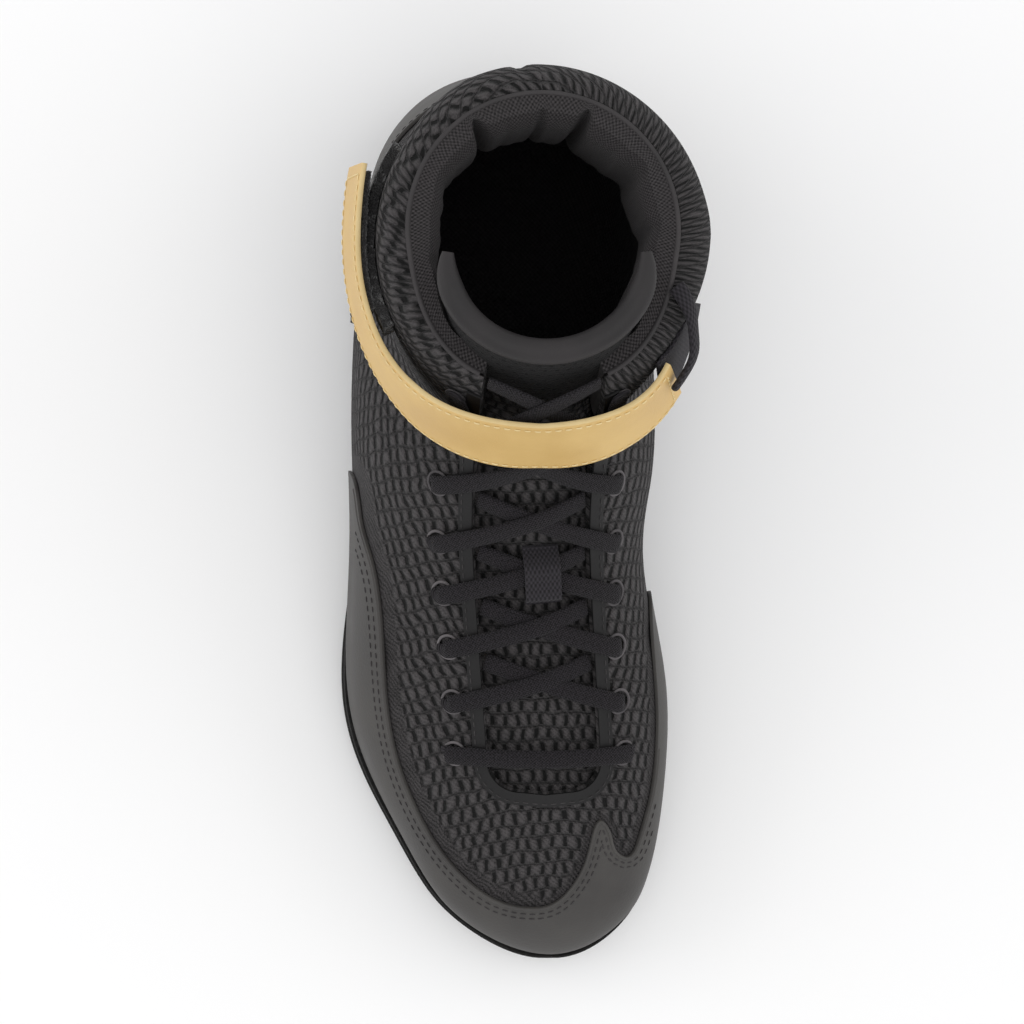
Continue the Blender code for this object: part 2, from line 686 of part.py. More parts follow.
# Rolled rim along the top of the tongue
RIM_STEPS = 15
rim_shares = np.linspace(-0.98, 0.98, RIM_STEPS)
rim_depth = np.full(RIM_STEPS, 0.7 * TONGUE_THICK)
rim_low = tongue_place(np.full(RIM_STEPS, TONGUE_ROWS[-1] - 0.04), rim_shares, rim_depth)
rim_high = tongue_place(np.full(RIM_STEPS, TONGUE_ROWS[-1]), rim_shares, rim_depth)
rim_up = rim_high - rim_low
rim_up /= np.linalg.norm(rim_up, axis=1, keepdims=True)
rim_run = np.gradient(rim_high, axis=0)
rim_run /= np.linalg.norm(rim_run, axis=1, keepdims=True)
rim_side = np.cross(rim_run, rim_up)
rim_centre = rim_high + rim_up * (TONGUE_RIM_RADIUS + 2.0 * FIT)
rings = []
for i in range(RIM_STEPS):
    ring = []
    for k in range(8):
        turn = 2.0 * math.pi * (k + 0.5) / 8.0
        way = math.cos(turn) * rim_side[i] + math.sin(turn) * rim_up[i]
        ring.append(rim_centre[i] + TONGUE_RIM_RADIUS * way)
    rings.append(ring)
tongue_rim = tube_body("tongue_rim", np.array(rings))

# Padded lining of the collar. Its outer side lies under the rolled edge of the
# upper. Loop over its inner side: way down the shaft as a share of the lining's
# depth, and inwards as a share of its thickness.
PAD_LOOP = (
    (0.96, 0.22), (0.72, 0.70), (0.42, 0.98), (0.12, 0.98), (-0.03, 0.80),
)
pad_turns = np.sort(np.mod(RING_TURNS[np.abs(RING_TURNS) > PAD_FRONT_TURN], 2.0 * math.pi))
pad_outer = RING_STATIONS[RING_STATIONS > COLLAR_STATION - PAD_DEPTH][::-1]
pad_rings = []
for around in pad_turns:
    swell = float(collar_swell(around))
    seam = COLLAR_ROLL * swell + SEAM_GAP
    ring = [skin(COLLAR_STATION, around, -seam)]
    for station in pad_outer:
        ring.append(rolled(station, around, UPPER_WALL + FIT))
    ring[1] = ring[1] - 0.5 * SEAM_GAP * last_normal(COLLAR_STATION, around)
    for down, inward in PAD_LOOP:
        station = COLLAR_STATION - down * PAD_DEPTH
        ring.append(skin(station, around, -(UPPER_WALL + FIT + inward * COLLAR_PAD * swell)))
    pad_rings.append(ring)
collar_padding = tube_body("collar_padding", np.array(pad_rings))

# Laces: flat cords across the throat, a bar in front and a crossing in each row


def cord_body(name, centre, up, width, thick):
    """A flat cord along a centre line, with its face towards up."""
    run = np.gradient(centre, axis=0)
    run /= np.linalg.norm(run, axis=1, keepdims=True)
    side = np.cross(run, up)
    side /= np.linalg.norm(side, axis=1, keepdims=True)
    up = np.cross(side, run)
    outline = ((-0.5, 0.0), (-0.36, -0.5), (0.36, -0.5), (0.5, 0.0), (0.36, 0.5), (-0.36, 0.5))
    rings = []
    for i in range(len(centre)):
        rings.append([centre[i] + a * width * side[i] + b * thick * up[i] for a, b in outline])
    return tube_body(name, np.array(rings))


def lace_body(name, points_2d, heights):
    """Flat cord along plan points at heights above the skin."""
    plan = np.array(points_2d)
    walk = np.linspace(0.0, 1.0, len(plan))
    fine = np.linspace(0.0, 1.0, LACE_STEPS)
    x = np.interp(fine, walk, plan[:, 0])
    y = np.interp(fine, walk, plan[:, 1])
    h = np.interp(fine, walk, np.array(heights))
    station, around = instep_place(x, y)
    centre = skin(station, around, h)
    return cord_body(name, centre, last_normal(station, around), LACE_WIDTH, LACE_THICK)


# Rows of eyelets, front row first. Shares of UPPER_LENGTH: the row's place, and
# how far its eyelets lie behind its middle. Last, a share of EYELET_SPREAD.
EYELET_ROWS = (
    (-0.262, 0.000, 1.00), (-0.203, 0.000, 0.98), (-0.141, 0.000, 0.98), (-0.081, 0.000, 1.00),
    (-0.024, 0.000, 1.02), (0.036, 0.004, 1.02), (0.094, 0.034, 0.88),
)
ON_TOP = FIT + BINDING_THICK + FIT + 0.5 * LACE_THICK
UNDER = -(0.5 * LACE_THICK + FIT)
INSIDE = 0.5 * THROAT_WIDTH - LACE_TUCK
CROSS_RISE = 0.034


def eyelet(row, side):
    place, back, spread = EYELET_ROWS[row]
    reach = side * spread * (EYELET_SPREAD - (MEDIAL_EYELET_INSET if side > 0 else 0.0))
    x = float(centre_x(place * UPPER_LENGTH)) + reach
    return x, (place + back) * UPPER_LENGTH


laces = []
bar_y = EYELET_ROWS[0][0] * UPPER_LENGTH
bar = lace_body(
    "lace_bar",
    [eyelet(0, -1), (float(centre_x(bar_y)), bar_y - LACE_DIP), eyelet(0, 1)],
    [ON_TOP, ON_TOP, ON_TOP],
)
laces.append(bar)
for row in range(1, len(EYELET_ROWS)):
    rise = CROSS_RISE * UPPER_LENGTH
    y = EYELET_ROWS[row][0] * UPPER_LENGTH
    over_end = (float(centre_x(y + rise)) + INSIDE, y + rise)
    under_end = (float(centre_x(y + rise)) - INSIDE, y + rise)
    lx, ly = eyelet(row, -1)
    rx, ry = eyelet(row, 1)
    middle = float(centre_x(y))
    over = lace_body(
        "lace_row_%d" % (row + 1),
        [(lx, ly), (middle - LACE_SWING, y + 0.10 * rise), (middle, y + 0.45 * rise), over_end],
        [ON_TOP, ON_TOP, ON_TOP + 0.1 * LACE_THICK, UNDER],
    )
    under = lace_body(
        "lace_under_%d" % (row + 1),
        [(rx, ry), (middle + LACE_SWING, y + 0.10 * rise), (middle, y + 0.50 * rise), under_end],
        [ON_TOP, ON_TOP, ON_TOP - 0.8 * LACE_THICK, UNDER],
    )
    cut(over, under, "UNION")
    laces.append(over)

# Webbing keeper over the laces, sewn to the tongue at its two feet
keeper_y = (EYELET_ROWS[3][0] + 0.5 * CROSS_RISE) * UPPER_LENGTH
keeper_top = ON_TOP + LACE_THICK + 0.5 * LACE_THICK
KEEPER_ARCH = ((-1.0, 0.0), (-0.86, 0.16), (-0.62, 0.88), (-0.25, 1.0), (0.25, 1.0), (0.62, 0.88),
               (0.86, 0.16), (1.0, 0.0))
keeper_low = -(UPPER_WALL + TONGUE_GAP) + FIT
keeper_near = []
keeper_far = []
for along, share in KEEPER_ARCH:
    near = []
    far = []
    for across in (-1.0, -0.33, 0.33, 1.0):
        y = keeper_y + along * KEEPER_HALF
        x = float(centre_x(y)) + KEEPER_SIDE + across * 0.5 * KEEPER_WIDTH
        height = keeper_low + (keeper_top - keeper_low) * share
        near.append(on_instep(x, y, height))
        y_far = y + along * (KEEPER_THICK if share < 1.0 else 0.0)
        far.append(on_instep(x, y_far, height + KEEPER_THICK))
    keeper_near.append(near)
    keeper_far.append(far)
lace_keeper = sheet_body("lace_keeper", np.array(keeper_near), np.array(keeper_far))


# Strap round the front of the shaft


def band_body(name, stops, width, thick, count):
    """A band along (angle, station, gap, width share) stops, upright on the skin."""
    stops = np.array(stops)
    walk = np.linspace(0.0, 1.0, len(stops))
    bend = tangent_table(walk, stops)
    fine = np.linspace(0.0, 1.0, count)
    i = np.clip(np.searchsorted(walk, fine, side="right") - 1, 0, len(walk) - 2)
    step = (walk[i + 1] - walk[i])[:, None]
    t = (fine - walk[i])[:, None]
    value = (bend[i] * (step - t) ** 3 + bend[i + 1] * t ** 3) / (6.0 * step)
    value += (stops[i] / step - bend[i] * step / 6.0) * (step - t)
    value += (stops[i + 1] / step - bend[i + 1] * step / 6.0) * t
    around, station, gap, share = value.T
    centre = skin(station, around, gap + 0.5 * thick)
    up = skin(station + 0.01, around, gap) - skin(station - 0.01, around, gap)
    run = np.gradient(centre, axis=0)
    run /= np.linalg.norm(run, axis=1, keepdims=True)
    up -= run * np.sum(up * run, axis=1, keepdims=True)
    up /= np.linalg.norm(up, axis=1, keepdims=True)
    out = np.cross(run, up)
    facing = np.sum(out * last_normal(station, around), axis=1, keepdims=True)
    out = np.where(facing < 0.0, -out, out)
    near = []
    far = []
    for k in (-0.5, -0.17, 0.17, 0.5):
        line = centre + up * (k * width * share)[:, None]
        near.append(line - out * 0.5 * thick)
        far.append(line + out * 0.5 * thick)
    return sheet_body(name, np.array(near), np.array(far))


# Angle round the shaft, station, gap from the skin, share of the full width
STRAP_STOPS = (
    (0.85, 2.93, 0.0050, 1.0),
    (0.62, 2.90, 0.0060, 1.0),
    (0.32, 2.88, 0.0054, 1.0),
    (0.00, 2.87, 0.0046, 1.0),
    (-0.32, 2.86, 0.0054, 1.0),
    (-0.68, 2.85, 0.0074, 1.0),
    (-1.04, 2.88, 0.0082, 1.0),
    (-1.40, 2.93, 0.0076, 1.0),
    (-1.74, 2.97, 0.0076, 1.0),
    (-2.00, 3.00, 0.0096, 1.0),
)
strap = band_body("strap", STRAP_STOPS, STRAP_WIDTH, STRAP_THICK, 25)
HOOK_STOPS = (
    (-1.22, 2.905, 0.0078 - HOOK_THICK - FIT, 0.86),
    (-1.50, 2.945, 0.0074 - HOOK_THICK - FIT, 0.86),
    (-1.74, 2.970, 0.0075 - HOOK_THICK - FIT, 0.86),
    (-1.97, 2.995, 0.0092 - HOOK_THICK - FIT, 0.86),
)
strap_hook = band_body("strap_hook", HOOK_STOPS, STRAP_WIDTH, HOOK_THICK, 12)
PATCH_STATIONS = (2.86, 2.94, 3.04, 3.14)
loop_turns = RING_TURNS[(RING_TURNS > -2.20) & (RING_TURNS < -1.10)]
shaft_loop_pad = skin_patch("shaft_loop_pad", PATCH_STATIONS, loop_turns, FIT, FIT + LOOP_THICK)
ANCHOR_STOPS = (
    (1.26, 3.02, 0.0008, 0.8),
    (1.12, 2.99, 0.0016, 0.8),
    (0.98, 2.96, 0.9 * ANCHOR_GAP, 0.8),
    (0.88, 2.94, ANCHOR_GAP, 0.8),
    (0.78, 2.93, 1.1 * ANCHOR_GAP, 0.8),
)
strap_anchor = band_body("strap_anchor", ANCHOR_STOPS, STRAP_WIDTH, ANCHOR_THICK, 9)

# Narrow elastic from the collar's seam down over the end of the strap.
# Angle, station, height over the skin, and how far its face turns out from level.
ELASTIC_STOPS = np.array((
    (1.16, 3.272, -0.0058, 0.10),
    (1.12, 3.266, -0.0026, 0.45),
    (1.07, 3.235, 0.0012, 0.80),
    (1.01, 3.180, 0.0044, 1.00),
    (0.95, 3.120, 0.0070, 1.00),
    (0.88, 3.050, 0.0078, 1.00),
    (0.80, 2.980, 0.0080, 1.00),
))
around, station, height, outward = ELASTIC_STOPS.T
elastic_up = np.outer(1.0 - outward, (0.0, 0.0, 1.0))
elastic_up += outward[:, None] * last_normal(station, around)
strap_keeper = cord_body("strap_keeper", skin(station, around, height), elastic_up,
                         ELASTIC_WIDTH, ELASTIC_THICK)

# Materials
LEATHER = (0.070, 0.069, 0.067)
KNIT = (0.045, 0.045, 0.046)
BLACK = (0.018, 0.018, 0.018)
GOLD = (0.68, 0.46, 0.19)
finish(outsole, BLACK, 0.62)
finish(upper, KNIT, 0.92)
finish(insole, (0.060, 0.060, 0.062), 0.90)
finish(rand, LEATHER, 0.55)
finish(heel_counter, LEATHER, 0.55)
finish(throat_binding, LEATHER, 0.58)
finish(tongue, KNIT, 0.92)
finish(tongue_rim, LEATHER, 0.60)
finish(collar_padding, (0.080, 0.080, 0.080), 0.95)
finish(lace_keeper, KNIT, 0.85)
finish(strap, GOLD, 0.50)
finish(strap_hook, BLACK, 0.97)
finish(shaft_loop_pad, BLACK, 0.97)
finish(strap_anchor, KNIT, 0.85)
finish(strap_keeper, KNIT, 0.85)
for lace in laces:
    finish(lace, (0.040, 0.040, 0.041), 0.88)

# Origin under the middle of the shoe's box, on the floor
shown = [body for body in bpy.data.objects if not body.hide_render]
corners = np.array([tuple(v.co) for body in shown for v in body.data.vertices])
middle = 0.5 * (corners.min(axis=0) + corners.max(axis=0))
for body in bpy.data.objects:
    body.location = (-middle[0], -middle[1], 0.0)
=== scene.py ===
# %% [markdown]
# # A wrestling shoe, dressed over its CAD frame
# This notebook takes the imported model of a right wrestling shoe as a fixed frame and
# makes the pieces that the eye sees: knit mesh, smooth leather, woven laces, a strap.
# The frame is loaded first, and its size is noted, because the dressed shoe has to
# stay inside it.

# %% Frame
import math

import bpy
import numpy as np
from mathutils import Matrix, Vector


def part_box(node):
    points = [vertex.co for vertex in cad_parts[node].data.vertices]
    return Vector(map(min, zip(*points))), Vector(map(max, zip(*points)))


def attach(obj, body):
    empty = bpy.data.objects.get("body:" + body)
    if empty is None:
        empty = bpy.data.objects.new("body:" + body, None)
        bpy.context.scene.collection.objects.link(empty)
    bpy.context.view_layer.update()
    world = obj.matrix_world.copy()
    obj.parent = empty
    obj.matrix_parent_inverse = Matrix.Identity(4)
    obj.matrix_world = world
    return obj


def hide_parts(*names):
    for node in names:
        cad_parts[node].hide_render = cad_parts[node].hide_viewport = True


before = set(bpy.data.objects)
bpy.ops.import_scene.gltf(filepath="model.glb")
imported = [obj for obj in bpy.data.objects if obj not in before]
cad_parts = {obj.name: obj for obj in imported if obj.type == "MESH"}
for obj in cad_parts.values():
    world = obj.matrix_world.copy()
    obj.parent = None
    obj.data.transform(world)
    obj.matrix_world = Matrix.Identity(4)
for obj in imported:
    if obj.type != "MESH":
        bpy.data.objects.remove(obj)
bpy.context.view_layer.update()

MM = 0.001

# %% [markdown]
# ## The camera and the light come first
# The photograph looks straight down on the shoe from about 1.2 m, leaning 2.5 degrees
# from the outer side, with the toe at the bottom of the picture. A long lens from far
# away gives nearly parallel sides. The room is a pale floor under large soft lamps, so
# the dark cloth is lit from above and fades at its sides.

# %% Camera, floor and lamps
LEAN = math.radians(2.5)
CAMERA_FAR = 1.2
AIM_X, AIM_Y = 0.0030, 0.003
SENSOR = 36.0
PICTURE = 1024.0
FOCAL_PIXELS = 3684.0
WORLD_LIGHT = 0.79
bpy.ops.object.select_all(action="DESELECT")
bpy.ops.object.camera_add(
    location=(AIM_X - CAMERA_FAR * math.sin(LEAN), AIM_Y, CAMERA_FAR * math.cos(LEAN)),
    rotation=(0.0, -LEAN, 0.0),
)
camera = bpy.context.object
camera.data.sensor_width = SENSOR
camera.data.lens = SENSOR * FOCAL_PIXELS / PICTURE
bpy.context.scene.camera = camera
print("lens in mm:", round(camera.data.lens, 1))

bpy.ops.mesh.primitive_plane_add(size=6.0, location=(0.0, 0.0, -0.0005))
floor = bpy.context.object
floor.name = "studio_floor"

# Lamps: name, place, tilt and turn in degrees, size in metres, power in watts
for name, place, turn, size, power in (
    ("lamp_top", (0.1, -0.2, 1.6), (-7.0, 4.0), 1.3, 4.2),
    ("lamp_toe", (0.2, -1.3, 0.9), (-56.0, 5.0), 1.0, 1.4),
    ("lamp_lateral", (-1.3, 0.3, 0.8), (8.0, -58.0), 1.0, 3.8),
    ("lamp_medial", (1.3, 0.3, 0.9), (8.0, 56.0), 1.0, 2.4),
):
    bpy.ops.object.light_add(type="AREA", location=place)
    lamp = bpy.context.object
    lamp.name = name
    lamp.rotation_euler = (math.radians(-turn[0]), math.radians(turn[1]), 0.0)
    lamp.data.size = size
    lamp.data.energy = power
world = bpy.data.worlds.new("studio")
world.use_nodes = True
world.node_tree.nodes["Background"].inputs["Color"].default_value = (1.0, 1.0, 1.0, 1.0)
world.node_tree.nodes["Background"].inputs["Strength"].default_value = WORLD_LIGHT
bpy.context.scene.world = world
bpy.context.scene.view_settings.view_transform = "Standard"

# %% [markdown]
# ## The form of the last
# A shoe is shaped over a last, a solid foot of wood or plastic. Here the last is a fan
# of sections from the toe to the collar, each one a rounded, squarish loop, as in the
# CAD model. A point of it is named by its station along the fan and by its angle round
# the section: 0 on the instep line, + on the inner side and pi under the sole.

# %% Sections of the last
UPPER_LENGTH = 0.2766
BALL_WIDTH = 0.0954
COLLAR_HEIGHT = 0.1600
COLUMNS = ("station", "low_y", "low_z", "high_y", "high_z", "low_x", "high_x",
           "lateral", "medial", "widest", "low_square", "high_square")
LAST = (
    (0.00, -0.499, 0.131, -0.499, 0.131, 0.143, 0.143, 0.000, 0.000, 0.45, 2.6, 2.2),
    (0.22, -0.457, 0.066, -0.457, 0.241, 0.123, 0.126, 0.274, 0.259, 0.40, 3.5, 2.2),
    (0.38, -0.414, 0.050, -0.414, 0.281, 0.094, 0.121, 0.363, 0.346, 0.38, 4.5, 2.2),
    (0.53, -0.367, 0.039, -0.367, 0.319, 0.066, 0.115, 0.417, 0.398, 0.36, 5.2, 2.15),
    (0.78, -0.278, 0.031, -0.278, 0.378, 0.021, 0.101, 0.503, 0.459, 0.34, 5.8, 2.1),
    (1.06, -0.174, 0.031, -0.177, 0.444, -0.019, 0.078, 0.527, 0.482, 0.34, 5.6, 2.1),
    (1.36, -0.029, 0.038, -0.065, 0.525, -0.042, 0.052, 0.498, 0.435, 0.40, 4.8, 2.1),
    (1.68, 0.127, 0.041, -0.004, 0.591, -0.042, 0.042, 0.508, 0.456, 0.46, 4.0, 2.1),
    (2.00, 0.307, 0.034, 0.034, 0.644, -0.031, 0.042, 0.508, 0.456, 0.46, 3.4, 2.1),
    (2.24, 0.445, 0.038, 0.056, 0.688, -0.025, 0.044, 0.482, 0.440, 0.44, 2.8, 2.1),
    (2.34, 0.484, 0.078, 0.065, 0.713, -0.025, 0.045, 0.466, 0.435, 0.44, 2.5, 2.1),
    (2.48, 0.501, 0.200, 0.074, 0.741, -0.023, 0.046, 0.461, 0.440, 0.45, 2.2, 2.1),
    (2.64, 0.495, 0.363, 0.083, 0.775, -0.013, 0.048, 0.466, 0.456, 0.46, 2.1, 2.1),
    (2.84, 0.477, 0.550, 0.094, 0.828, 0.006, 0.049, 0.478, 0.472, 0.48, 2.0, 2.1),
    (3.05, 0.466, 0.738, 0.108, 0.891, 0.029, 0.050, 0.491, 0.486, 0.50, 2.0, 2.05),
    (3.26, 0.472, 0.913, 0.128, 0.956, 0.048, 0.050, 0.493, 0.493, 0.50, 2.0, 2.0),
    (3.50, 0.477, 1.063, 0.163, 1.075, 0.058, 0.052, 0.493, 0.493, 0.50, 2.0, 2.0),
)
UNITS = {"low_y": UPPER_LENGTH, "high_y": UPPER_LENGTH, "low_z": COLLAR_HEIGHT,
         "high_z": COLLAR_HEIGHT, "low_x": BALL_WIDTH, "high_x": BALL_WIDTH,
         "lateral": BALL_WIDTH, "medial": BALL_WIDTH}
COLLAR = 3.26
ROLL_START = 3.15


def bend_table(places, values):
    """Second derivatives of the smooth cubic curve through each column."""
    count = len(places)
    steps = np.diff(places)
    matrix = np.zeros((count, count))
    right = np.zeros_like(values)
    matrix[0, 0] = 1.0
    matrix[-1, -1] = 1.0
    for i in range(1, count - 1):
        matrix[i, i - 1:i + 2] = (steps[i - 1], 2.0 * (steps[i - 1] + steps[i]), steps[i])
        right[i] = 6.0 * ((values[i + 1] - values[i]) / steps[i] - (values[i] - values[i - 1]) / steps[i - 1])
    return np.linalg.solve(matrix, right)


def smooth_curve(places, values, bends, at):
    """The smooth curve's values at the places asked for."""
    i = np.clip(np.searchsorted(places, at, side="right") - 1, 0, len(places) - 2)
    step = (places[i + 1] - places[i])[:, None]
    t = (at - places[i])[:, None]
    value = (bends[i] * (step - t) ** 3 + bends[i + 1] * t ** 3) / (6.0 * step)
    value += (values[i] / step - bends[i] * step / 6.0) * (step - t)
    return value + (values[i + 1] / step - bends[i + 1] * step / 6.0) * t


def mirrored_rows(table):
    """Two more rows before the toe, so that the form is round through its tip."""
    before = []
    for i in (2, 1):
        row = table[i].copy()
        row[0] = -table[i][0]
        row[[2, 4]] = table[i][[4, 2]]
        row[[5, 6]] = table[i][[6, 5]]
        row[[7, 8]] = -table[i][[7, 8]]
        before.append(row)
    return np.vstack([before, table])


TABLE = mirrored_rows(np.array(LAST))
TABLE_BENDS = bend_table(TABLE[:, 0], TABLE[:, 1:])
print("sections of the last:", len(LAST))


def section(station):
    at = np.asarray(station, float)
    value = smooth_curve(TABLE[:, 0], TABLE[:, 1:], TABLE_BENDS, at.reshape(-1))
    return {name: (value[:, k] * UNITS.get(name, 1.0)).reshape(at.shape)
            for k, name in enumerate(COLUMNS[1:])}


def plain_last(station, around):
    station, around = np.broadcast_arrays(np.asarray(station, float), np.asarray(around, float))
    row = section(station)
    down = -np.cos(around)
    side = np.abs(np.sin(around))
    square = np.where(down > 0.0, row["low_square"], row["high_square"])
    reach = np.abs(down) ** (2.0 / square)
    widest = row["widest"]
    up = np.where(down > 0.0, widest * (1.0 - reach), widest + (1.0 - widest) * reach)
    half = np.where(np.sin(around) >= 0.0, row["medial"], -row["lateral"])
    x = row["low_x"] + (row["high_x"] - row["low_x"]) * up + half * side ** (2.0 / square)
    y = row["low_y"] + (row["high_y"] - row["low_y"]) * up
    z = row["low_z"] + (row["high_z"] - row["low_z"]) * up
    return np.stack([x, y, z], axis=-1)


# %% [markdown]
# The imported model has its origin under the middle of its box, so the last's own
# numbers are moved by a few millimetres. The upper's packed box says by how much: its
# foremost point is the toe's tip, and its most medial point is on one of its rings.

# %% The move from the last's numbers to the frame
CAD_RINGS = np.array([0.05, 0.13, 0.25, 0.40, 0.58, 0.79, 1.00, 1.20, 1.40, 1.62, 1.84, 2.04,
                      2.18, 2.29, 2.40, 2.54, 2.72, 2.90, 3.08, ROLL_START])
upper_low, upper_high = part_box("upper")
ring_turns = np.linspace(-math.pi, math.pi, 32, endpoint=False)
ring_points = plain_last(CAD_RINGS[:, None], ring_turns[None, :])
SHIFT = np.array([
    upper_high[0] - ring_points[..., 0].max(),
    upper_low[1] - plain_last(0.0, 0.0)[1],
    0.0,
])
print("shift in mm:", np.round(SHIFT / MM, 2))


def last_point(station, around):
    return plain_last(station, around) + SHIFT


def unit(vectors):
    return vectors / np.maximum(np.linalg.norm(vectors, axis=-1, keepdims=True), 1e-12)


def last_normal(station, around):
    station = np.maximum(np.asarray(station, float), 0.01)
    around = np.asarray(around, float)
    along = plain_last(station + 0.001, around) - plain_last(station - 0.001, around)
    across = plain_last(station, around + 0.02) - plain_last(station, around - 0.02)
    return unit(np.cross(across, along))


def skin(station, around, offset=0.0):
    """A point at a distance outside (+) or inside (-) the last."""
    offset = np.asarray(offset, float)
    return last_point(station, around) + offset[..., None] * last_normal(station, around)


# The collar's top edge is rolled inwards over its foam, least at its front ends
COLLAR_ROLL = 8.0 * MM
PAD_FRONT = 0.38


def collar_swell(around):
    share = np.abs(np.mod(around, 2.0 * math.pi) - math.pi) / (math.pi - PAD_FRONT)
    swell = np.clip((1.0 - share) / 0.38, 0.0, 1.0)
    return 0.26 + 0.74 * swell * swell * (3.0 - 2.0 * swell)


def roll_depth(station, around):
    way = np.clip((station - ROLL_START) / (COLLAR - ROLL_START), 0.0, 1.0)
    return COLLAR_ROLL * collar_swell(around) * (1.0 - np.sqrt(1.0 - way ** 2))


def rolled(station, around, depth=0.0):
    """The skin with its rolled top, at a depth below that face."""
    at = np.clip(station, 0.01, COLLAR - 0.003)

    def face(s, a):
        return skin(s, a, -roll_depth(s, a))

    along = face(at + 0.0005, around) - face(at - 0.0005, around)
    across = face(at, around + 0.02) - face(at, around - 0.02)
    return face(station, around) - depth * unit(np.cross(across, along))


LINE_STATIONS = np.linspace(0.2, 3.5, 500)
LINE_HIGH = last_point(LINE_STATIONS, 0.0)
LINE_LOW = last_point(np.linspace(0.0, 2.5, 600), math.pi)


def centre_x(y):
    return np.interp(y, LINE_HIGH[:, 1], LINE_HIGH[:, 0])


def bed(y):
    return np.interp(y, LINE_LOW[:, 1], LINE_LOW[:, 2])


def ground(y):
    """Height of the sole's underside above the floor: toe spring, arch and heel bevel."""
    share = (np.asarray(y, float) - SHIFT[1]) / UPPER_LENGTH
    toe = np.clip((-0.330 - share) / 0.185, 0.0, 1.2)
    arch = np.clip((share + 0.080) / 0.270, 0.0, 1.0)
    heel = np.clip((share - 0.440) / 0.065, 0.0, 1.2)
    return 9.0 * MM * toe ** 1.7 + 2.0 * MM * np.sin(math.pi * arch) ** 2 + 2.2 * MM * heel ** 2


def place_on_last(target, axes, low_turn, high_turn):
    """Station and angle of the points whose two coordinates are the target's."""
    stations = np.linspace(0.12, 3.42, 150)
    turns = np.linspace(low_turn, high_turn, 60)
    coarse = last_point(stations[:, None], turns[None, :])[..., axes].reshape(-1, 2)
    near = np.array([np.argmin(((coarse - point) ** 2).sum(axis=1)) for point in target])
    station = stations[near // 60]
    around = turns[near % 60]
    for _ in range(12):
        here = last_point(station, around)[:, axes]
        ds = (last_point(station + 0.002, around)[:, axes] - here) / 0.002
        da = (last_point(station, around + 0.002)[:, axes] - here) / 0.002
        miss = target - here
        det = ds[:, 0] * da[:, 1] - ds[:, 1] * da[:, 0]
        det = np.where(np.abs(det) < 1e-9, 1e-9, det)
        step_s = (miss[:, 0] * da[:, 1] - miss[:, 1] * da[:, 0]) / det
        step_a = (ds[:, 0] * miss[:, 1] - ds[:, 1] * miss[:, 0]) / det
        station = np.clip(station + np.clip(step_s, -0.1, 0.1), 0.1, 3.45)
        around = around + np.clip(step_a, -0.1, 0.1)
    return station, around


def instep_place(x, y):
    """Station and angle of the points seen from above at x, y."""
    return place_on_last(np.column_stack([x, y]), (0, 1), -1.5, 1.5)


# %% [markdown]
# ## Cloth laid over the last
# A pattern cutter lays cloth over the last and trims it to a line. The same is done
# here: a grid primitive with as many squares as needed has its points put on the last,
# squares outside the cutting line are deleted, and the points along the line are slid
# onto it. Each grid carries a chart (its UV map) in millimetres of cloth, so a weave
# keeps its real size wherever the form bends.

# %% Helpers for sheets on the last
def even_stations(first, last, count):
    """Stations at even steps of length along the shoe."""
    fine = np.linspace(first, last, 800)
    lines = last_point(fine[:, None], np.array([0.0, 1.5, -1.5, 2.6])[None, :])
    walk = np.linalg.norm(np.diff(lines, axis=0), axis=-1).mean(axis=1)
    walk = np.concatenate([[0.0], np.cumsum(walk)])
    return np.interp(np.linspace(0.0, walk[-1], count), walk, fine)


def with_roll(stations):
    """The same stations up to the roll, then close ones round it."""
    turn = np.linspace(0.0, 0.5 * math.pi, 15)
    return np.concatenate([stations[stations < ROLL_START - 0.01],
                           ROLL_START + (COLLAR - ROLL_START) * np.sin(turn)])


def even_turns(stations, shares):
    """Angles at even steps of length round each section. Shares run from -1 (under the
    foot, outer side) through 0 (instep line) to 1. Also gives the length walked."""
    t = np.linspace(0.0, 1.0, 500)
    fine = math.pi * (1.0 - (1.0 - t) ** 2.6)
    turns = np.zeros((len(stations), len(shares)))
    walked = np.zeros_like(turns)
    safe = np.maximum(stations, 0.006)
    for sign in (-1.0, 1.0):
        points = last_point(safe[:, None], sign * fine[None, :])
        steps = np.linalg.norm(np.diff(points, axis=1), axis=-1)
        walk = np.concatenate([np.zeros((len(stations), 1)), np.cumsum(steps, axis=1)], axis=1)
        side = shares >= 0.0 if sign > 0.0 else shares < 0.0
        for i in range(len(stations)):
            along = np.abs(shares[side]) * walk[i, -1]
            turns[i, side] = sign * np.interp(along, walk[i], fine)
            walked[i, side] = sign * along
    return turns, walked


def walk_along(line):
    """Length walked at each point of a line."""
    return np.concatenate([[0.0], np.cumsum(np.linalg.norm(np.diff(line, axis=0), axis=1))])


